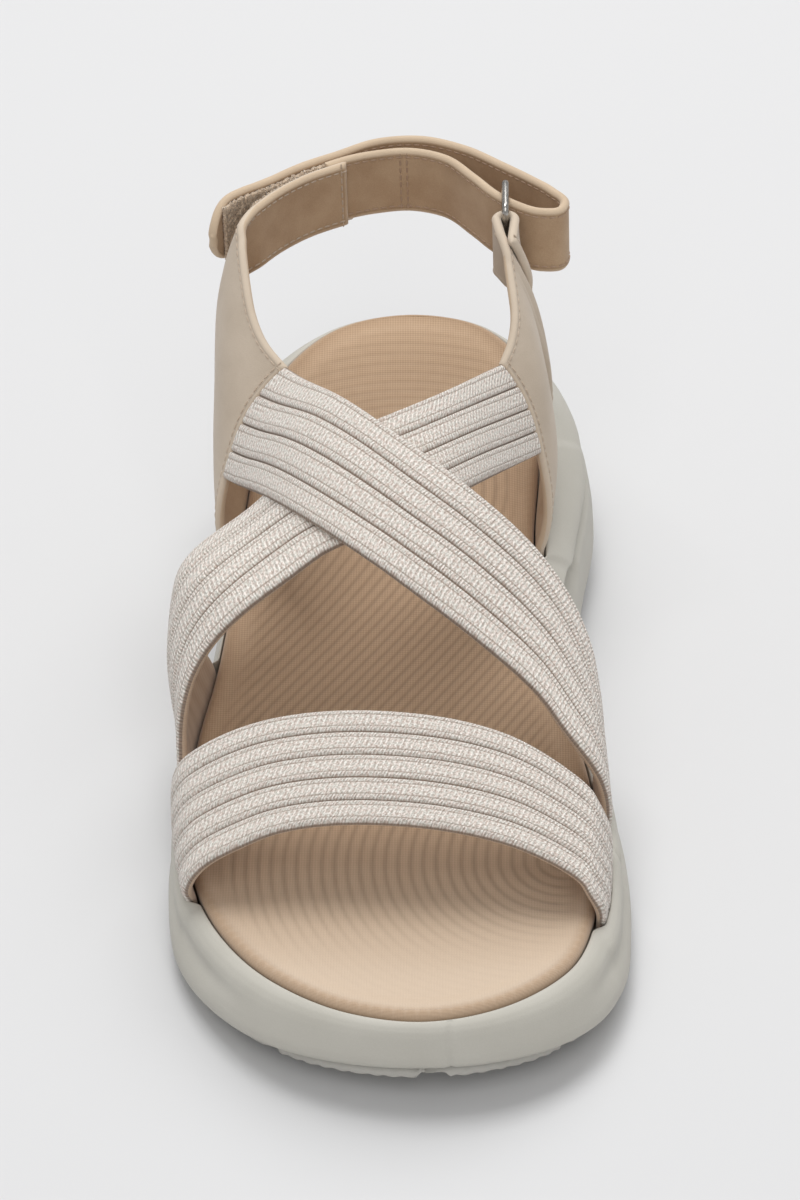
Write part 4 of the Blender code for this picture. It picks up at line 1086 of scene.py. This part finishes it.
quarter_levels = shares_across(60.0, EDGE_STEPS, 1.0)
quarter_shares = shares_across(55.0, EDGE_STEPS, 0.8)
lateral_rows = quarter_rows(LATERAL_QUARTER, "lateral", quarter_shares, quarter_levels)
back_rows = upright(path_through(BACK_PATH, np.linspace(0, 1, 40)), quarter_levels)
lateral_middle = np.concatenate([lateral_rows[quarter_shares < QUARTER_END], back_rows[1:]])
lateral_quarter = leather("lateral_quarter_leather", lateral_middle, -1, [NUBUCK, TAN_NUBUCK])
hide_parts("lateral_quarter")
lateral_seams = [inset_line(lateral_middle, -1, face, STITCH_INSET, edge, rows)
                 for edge, face, rows in (("top", 1, slice(None)), ("top", -1, slice(None)),
                                          ("bottom", 1, slice(42, None)), ("bottom", -1, slice(42, None)),
                                          ("start", 1, slice(14, None)), ("end", -1, slice(None)))]
sew("lateral_quarter_stitches", lateral_seams, THREAD)

# Medial quarter
# The same nubuck on the inner side. Its top end is folded round the ring's front bar like a
# teardrop and sewn down on the outside.

WIRE_RADIUS = 0.9
RING_X = 27.0
EYE_BOTTOM = 81.6
EYE_TOP = 98.4
FOLD_SHARES = (0.875, 0.945)
LINED_SHARE = 0.8
RING_FRONT_Y = 81.5

medial_rows = quarter_rows(MEDIAL_QUARTER, "medial", quarter_shares, quarter_levels)
eye_turn = np.radians(np.linspace(190, -8, 24))
eye_radius = WIRE_RADIUS + GAP + LEATHER_THICK / 2
eye_arc = np.stack([np.cos(eye_turn), np.sin(eye_turn)], axis=-1)
eye_path = np.array([RING_X, RING_FRONT_Y]) + eye_radius * eye_arc
eye_rows = upright(eye_path, quarter_levels, EYE_BOTTOM, EYE_TOP)
folded = (quarter_shares > FOLD_SHARES[0]) & (quarter_shares < FOLD_SHARES[1])
fold_rows = (medial_rows + grid_normal(medial_rows, 1) * (LEATHER_THICK + GAP))[folded][::-1]
medial_middle = np.concatenate([medial_rows[quarter_shares < QUARTER_END], eye_rows, fold_rows])
medial_quarter = leather("medial_quarter_leather", medial_middle, 1, [NUBUCK, TAN_NUBUCK],
                         lined=np.sum(quarter_shares < LINED_SHARE))
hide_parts("medial_quarter")
medial_seams = [inset_line(medial_rows, 1, face, STITCH_INSET, edge, rows)
                for edge, face, rows in (("top", 1, slice(None)), ("top", -1, slice(None)),
                                         ("bottom", 1, slice(40, -6)), ("bottom", -1, slice(40, -6)),
                                         ("start", 1, slice(14, None)))]
medial_seams.append(inset_line(fold_rows, -1, 1, STITCH_INSET, "end"))
sew("medial_quarter_stitches", medial_seams, THREAD)

# Ring
# A rectangular loop of round nickel-plated wire. Its front bar is held in the medial quarter's
# fold, and the heel strap runs round its rear bar.

RING_REAR_Y = 93.3
RING_LOW_Z = 79.4
RING_HIGH_Z = 100.6
RING_CORNER = 1.6


def nickel_material():
    """Polished plating, whose gloss varies a little with the grain."""
    made, tree, shader = new_material("nickel", 0.2, metallic=1.0)
    where = add(tree, "ShaderNodeTexCoord").outputs["Object"]
    grain = place(tree, GRAIN, Vector=where, Light=(0.55, 0.53, 0.50, 1), Dark=(0.26, 0.25, 0.235, 1),
                  Blotch_mm=3.0, Tooth_mm=0.2)
    tree.links.new(grain["Colour"], shader.inputs["Base Color"])
    rough = add(tree, "ShaderNodeMapRange", {"Value": grain["Height"], "To Min": 0.14, "To Max": 0.3})
    tree.links.new(rough.outputs[0], shader.inputs["Roughness"])
    return made


def make_ring():
    """A circle of the wire's radius carried round a rectangle with quarter circles at its corners."""
    corner = RING_CORNER
    front, rear = RING_FRONT_Y + corner, RING_REAR_Y - corner
    low, high = RING_LOW_Z + corner, RING_HIGH_Z - corner
    centres = [(rear, high, 0), (front, high, 90), (front, low, 180), (rear, low, 270)]
    turn = np.concatenate([np.radians(start + np.linspace(0, 90, 10)) for _, _, start in centres])
    middle = np.concatenate([np.array([(y, z)] * 10, float) for y, z, _ in centres])
    path = middle + corner * np.stack([np.cos(turn), np.sin(turn)], axis=-1)
    around = np.linspace(0, 2 * math.pi, 20, endpoint=False)
    reach = WIRE_RADIUS * np.cos(around)
    points = np.zeros((len(turn), len(around), 3))
    points[..., 0] = RING_X + WIRE_RADIUS * np.sin(around)
    points[..., 1] = path[:, :1] + np.cos(turn)[:, None] * reach
    points[..., 2] = path[:, 1:] + np.sin(turn)[:, None] * reach
    index = np.arange(points.shape[0] * points.shape[1]).reshape(points.shape[:2])
    faces = grid_faces(np.concatenate([index, index[:1]]), closed=True)
    piece = make_mesh("ring_wire", points.reshape(-1, 3), faces.tolist(), [nickel_material()])
    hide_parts("ring")


make_ring()

# Heel strap
# A band of nubuck from the seam behind the heel through the ring, round its rear bar and back
# along the outer side, where it closes on the lateral quarter's run with hook and loop.

STRAP_PATH = [(-16.6, 104.7), (-11.4, 107.5), (-4, 109.8), (3.5, 110.6), (12.0, 107.6), (19.5, 98.6),
              (24.5, 91.6), (29.5, 86.8), (35.5, 83.6), (40.0, 84.0), (41.2, 87.5), (38.2, 92.4),
              (32.5, 98.2), (26.5, 103.6), (17.0, 111.4), (6.5, 115.8), (-4.0, 115.0)]
STRAP_SEAM_X = 1.5
RUN_SPACE = 5.0
TIP_Y = 82.5
TIP_FLARE = 4.4
TIP_ROUND = 10.0

TAN_THREAD = thread_material("tan thread", (0.52, 0.37, 0.26, 1), (0.33, 0.22, 0.15, 1))


def offset_path(points, distance):
    """A path seen from above, moved to its left by a distance, which may differ along it."""
    tangent = unit(np.gradient(points, axis=0))
    left = np.stack([-tangent[:, 1], tangent[:, 0]], axis=-1)
    return points + left * np.broadcast_to(distance, len(points))[:, None]


def closing_path(distance=0.0):
    """The strap's end from its tip to the heel, outside the quarter's run, which it leaves a
    little at its tip. The distance moves the path in towards the run."""
    back = path_through([(-35.9, 76.0)] + BACK_PATH, np.linspace(0, 1, 60))
    outer = offset_path(back, RUN_SPACE - distance + TIP_FLARE * (1 - fade(back[:, 1], TIP_Y, TIP_Y + 15)))
    return outer[(outer[:, 1] > TIP_Y) & (outer[:, 0] < -14)]


def strap_path(shares):
    """The heel strap from its seam, through the ring, round its fold and back to its tip."""
    return path_through(STRAP_PATH + [tuple(p) for p in closing_path()[::-6]], shares)


band_levels = shares_across(18.0, EDGE_STEPS, 0.8)
band_shares = shares_across(215.0, EDGE_STEPS, 0.7)
heel_path = strap_path(band_shares)
heel_middle = upright(heel_path, band_levels)
tip_distance = run_length(heel_path)[-1] - run_length(heel_path)
tip_round = np.sqrt(np.clip(1 - np.clip(1 - tip_distance / TIP_ROUND, 0, 1) ** 2, 0.03, 1))
strap_middle_z = (STRAP_BOTTOM + STRAP_TOP) / 2
heel_middle[..., 2] = strap_middle_z + (heel_middle[..., 2] - strap_middle_z) * tip_round[:, None]
heel_strap = leather("heel_strap_leather", heel_middle, 1, [TAN_NUBUCK, TAN_NUBUCK])
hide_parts("heel_strap")
heel_out = grid_normal(heel_middle, 1)
seam_row = np.argmin(np.abs(heel_path[:60, 0] - STRAP_SEAM_X))
strap_seams = [(heel_middle[row, 4:-4] + heel_out[row, 4:-4] * face * (LEATHER_THICK / 2 + 0.02),
                heel_out[row, 4:-4] * face)
               for row in (seam_row, seam_row + 3) for face in (1, -1)]
strap_seams += [inset_line(heel_middle, 1, face, STITCH_INSET, edge, slice(4, -12))
                for face in (1, -1) for edge in ("top", "bottom")]
sew("heel_strap_stitches", strap_seams, TAN_THREAD)

# Fastener
# Hook and loop tape, sewn on: the loop half on the outside of the quarter's run, and the hook
# half on the inside of the strap's end. The two halves are pressed together.

PAD_THICK = 1.0
PILE_NAP = 0.45
PILE_BOTTOM = STRAP_BOTTOM + 1.5
PILE_TOP = STRAP_TOP - 1.2
PILE_AWAY = LEATHER_THICK / 2 + GAP + PAD_THICK / 2

PILE, pile_tree, pile_shader = new_material("fastener pile", 0.95, Sheen_Weight=0.4)
pile_where = add(pile_tree, "ShaderNodeTexCoord").outputs["Object"]
pile_grain = place(pile_tree, GRAIN, Vector=pile_where, Light=(0.84, 0.67, 0.50, 1),
                   Dark=(0.40, 0.28, 0.18, 1), Blotch_mm=1.2, Tooth_mm=0.5)
pile_tree.links.new(pile_grain["Colour"], pile_shader.inputs["Base Color"])
bumped(pile_tree, pile_shader, pile_grain["Height"], 1.0, 0.4)


def make_pile(name, node, path, first, last, seed):
    """A thin band between the two runs whose faces stand up and down by a seeded random nap."""
    levels = np.linspace(0, 1, 44)
    path = path_through(path, np.linspace(first, last, 110))
    middle = upright(path, levels, PILE_BOTTOM, PILE_TOP)
    out = grid_normal(middle, 1)
    nap = np.random.default_rng(seed).random(middle.shape[:2])
    along, across = run_length(middle, 0), run_length(middle, 1)
    closing = np.minimum.reduce([along, along[-1:] - along, across, across[:, -1:] - across])
    half = (PAD_THICK / 2 + PILE_NAP * (nap - 0.5)) * edge_round(closing, 0.5)
    middle[:, -3:, 2] += (nap[:, -3:] - 0.4) * 0.8
    uv = np.stack([along, across], axis=-1)
    piece = shell(name, middle, out, half, -half, [PILE], uv)
    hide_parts(node)


back_line = path_through(BACK_PATH, np.linspace(0, 1, 60))
make_pile("loop_pile", "loop_pad", offset_path(back_line, PILE_AWAY), 0.04, 0.78, 3)
make_pile("hook_pile", "hook_pad", closing_path(PILE_AWAY), 0.13, 0.93, 7)

# Studio
# A plain pale floor in a bright room, three large soft lights and the camera at the
# photograph's angle.

FLOOR_TONE = (0.66, 0.66, 0.665, 1)
ROOM_LIGHT = 0.44
SENSOR_HEIGHT = 36.0
CAMERA_DOWN = 37.5
CAMERA_ROUND = -1.4
CAMERA_AWAY = 1500.0
PHOTO_SCALE = 2.80
PHOTO_ORIGIN = (216.0, 702.7)
PHOTO_CENTRE = (400.0, 600.0)
VIEW_CENTRE = (216.0, 601.0)
VIEW_ZOOM = 1.50
IMAGE_HEIGHT = 1200.0

floor_mesh = bpy.data.meshes.new("floor")
floor_mesh.from_pydata([(-3, -3, 0), (3, -3, 0), (3, 3, 0), (-3, 3, 0)], [], [(0, 1, 2, 3)])
floor = bpy.data.objects.new("floor", floor_mesh)
bpy.context.collection.objects.link(floor)
floor_material, _, floor_shader = new_material("floor", 0.9)
floor_shader.inputs["Base Color"].default_value = FLOOR_TONE
floor_mesh.materials.append(floor_material)

world = bpy.data.worlds.new("studio")
world.use_nodes = True
world.node_tree.nodes["Background"].inputs[0].default_value = (1, 1, 1, 1)
world.node_tree.nodes["Background"].inputs[1].default_value = ROOM_LIGHT
bpy.context.scene.world = world
bpy.context.scene.view_settings.view_transform = "Standard"


def soft_light(name, place_m, size, power):
    """A square area light that points at the sandal."""
    lamp = bpy.data.lights.new(name, "AREA")
    lamp.size = size
    lamp.energy = power
    made = bpy.data.objects.new(name, lamp)
    bpy.context.collection.objects.link(made)
    made.location = place_m
    made.rotation_euler = (Vector((0, 0, 0.03)) - Vector(place_m)).to_track_quat("-Z", "Y").to_euler()


soft_light("key", (-0.2, 0.4, 2.1), 1.0, 20.0)
soft_light("front", (0.05, -1.5, 1.7), 1.4, 12.0)
soft_light("rear", (0.35, 1.2, 1.6), 1.4, 14.0)


def make_camera():
    """The photograph's own camera, turned from its centre to the sandal's middle and zoomed in."""
    down, turn = math.radians(CAMERA_DOWN), math.radians(CAMERA_ROUND)
    right = Vector((math.cos(turn), math.sin(turn), 0))
    ahead = Vector((-math.sin(turn) * math.cos(down), math.cos(turn) * math.cos(down), -math.sin(down)))
    up = right.cross(ahead)
    focal = PHOTO_SCALE * CAMERA_AWAY

    def ray(pixel):
        """Direction in which the camera sees a pixel of the photograph."""
        across, above = pixel[0] - PHOTO_CENTRE[0], PHOTO_CENTRE[1] - pixel[1]
        return ahead + right * (across / focal) + up * (above / focal)

    to_origin = ray(PHOTO_ORIGIN)
    place_mm = -to_origin / to_origin.dot(ahead) * CAMERA_AWAY
    look = ray(VIEW_CENTRE).normalized()
    side = look.cross(up).normalized()
    top = side.cross(look)
    lens = bpy.data.cameras.new("camera")
    lens.sensor_fit = "VERTICAL"
    lens.sensor_height = SENSOR_HEIGHT
    lens.lens = focal * VIEW_ZOOM / IMAGE_HEIGHT * SENSOR_HEIGHT
    lens.clip_start = 0.05
    camera = bpy.data.objects.new("camera", lens)
    bpy.context.collection.objects.link(camera)
    axes = Matrix((side, top, -look)).transposed().to_4x4()
    camera.matrix_world = Matrix.Translation(place_mm * MM) @ axes
    bpy.context.scene.camera = camera


make_camera()
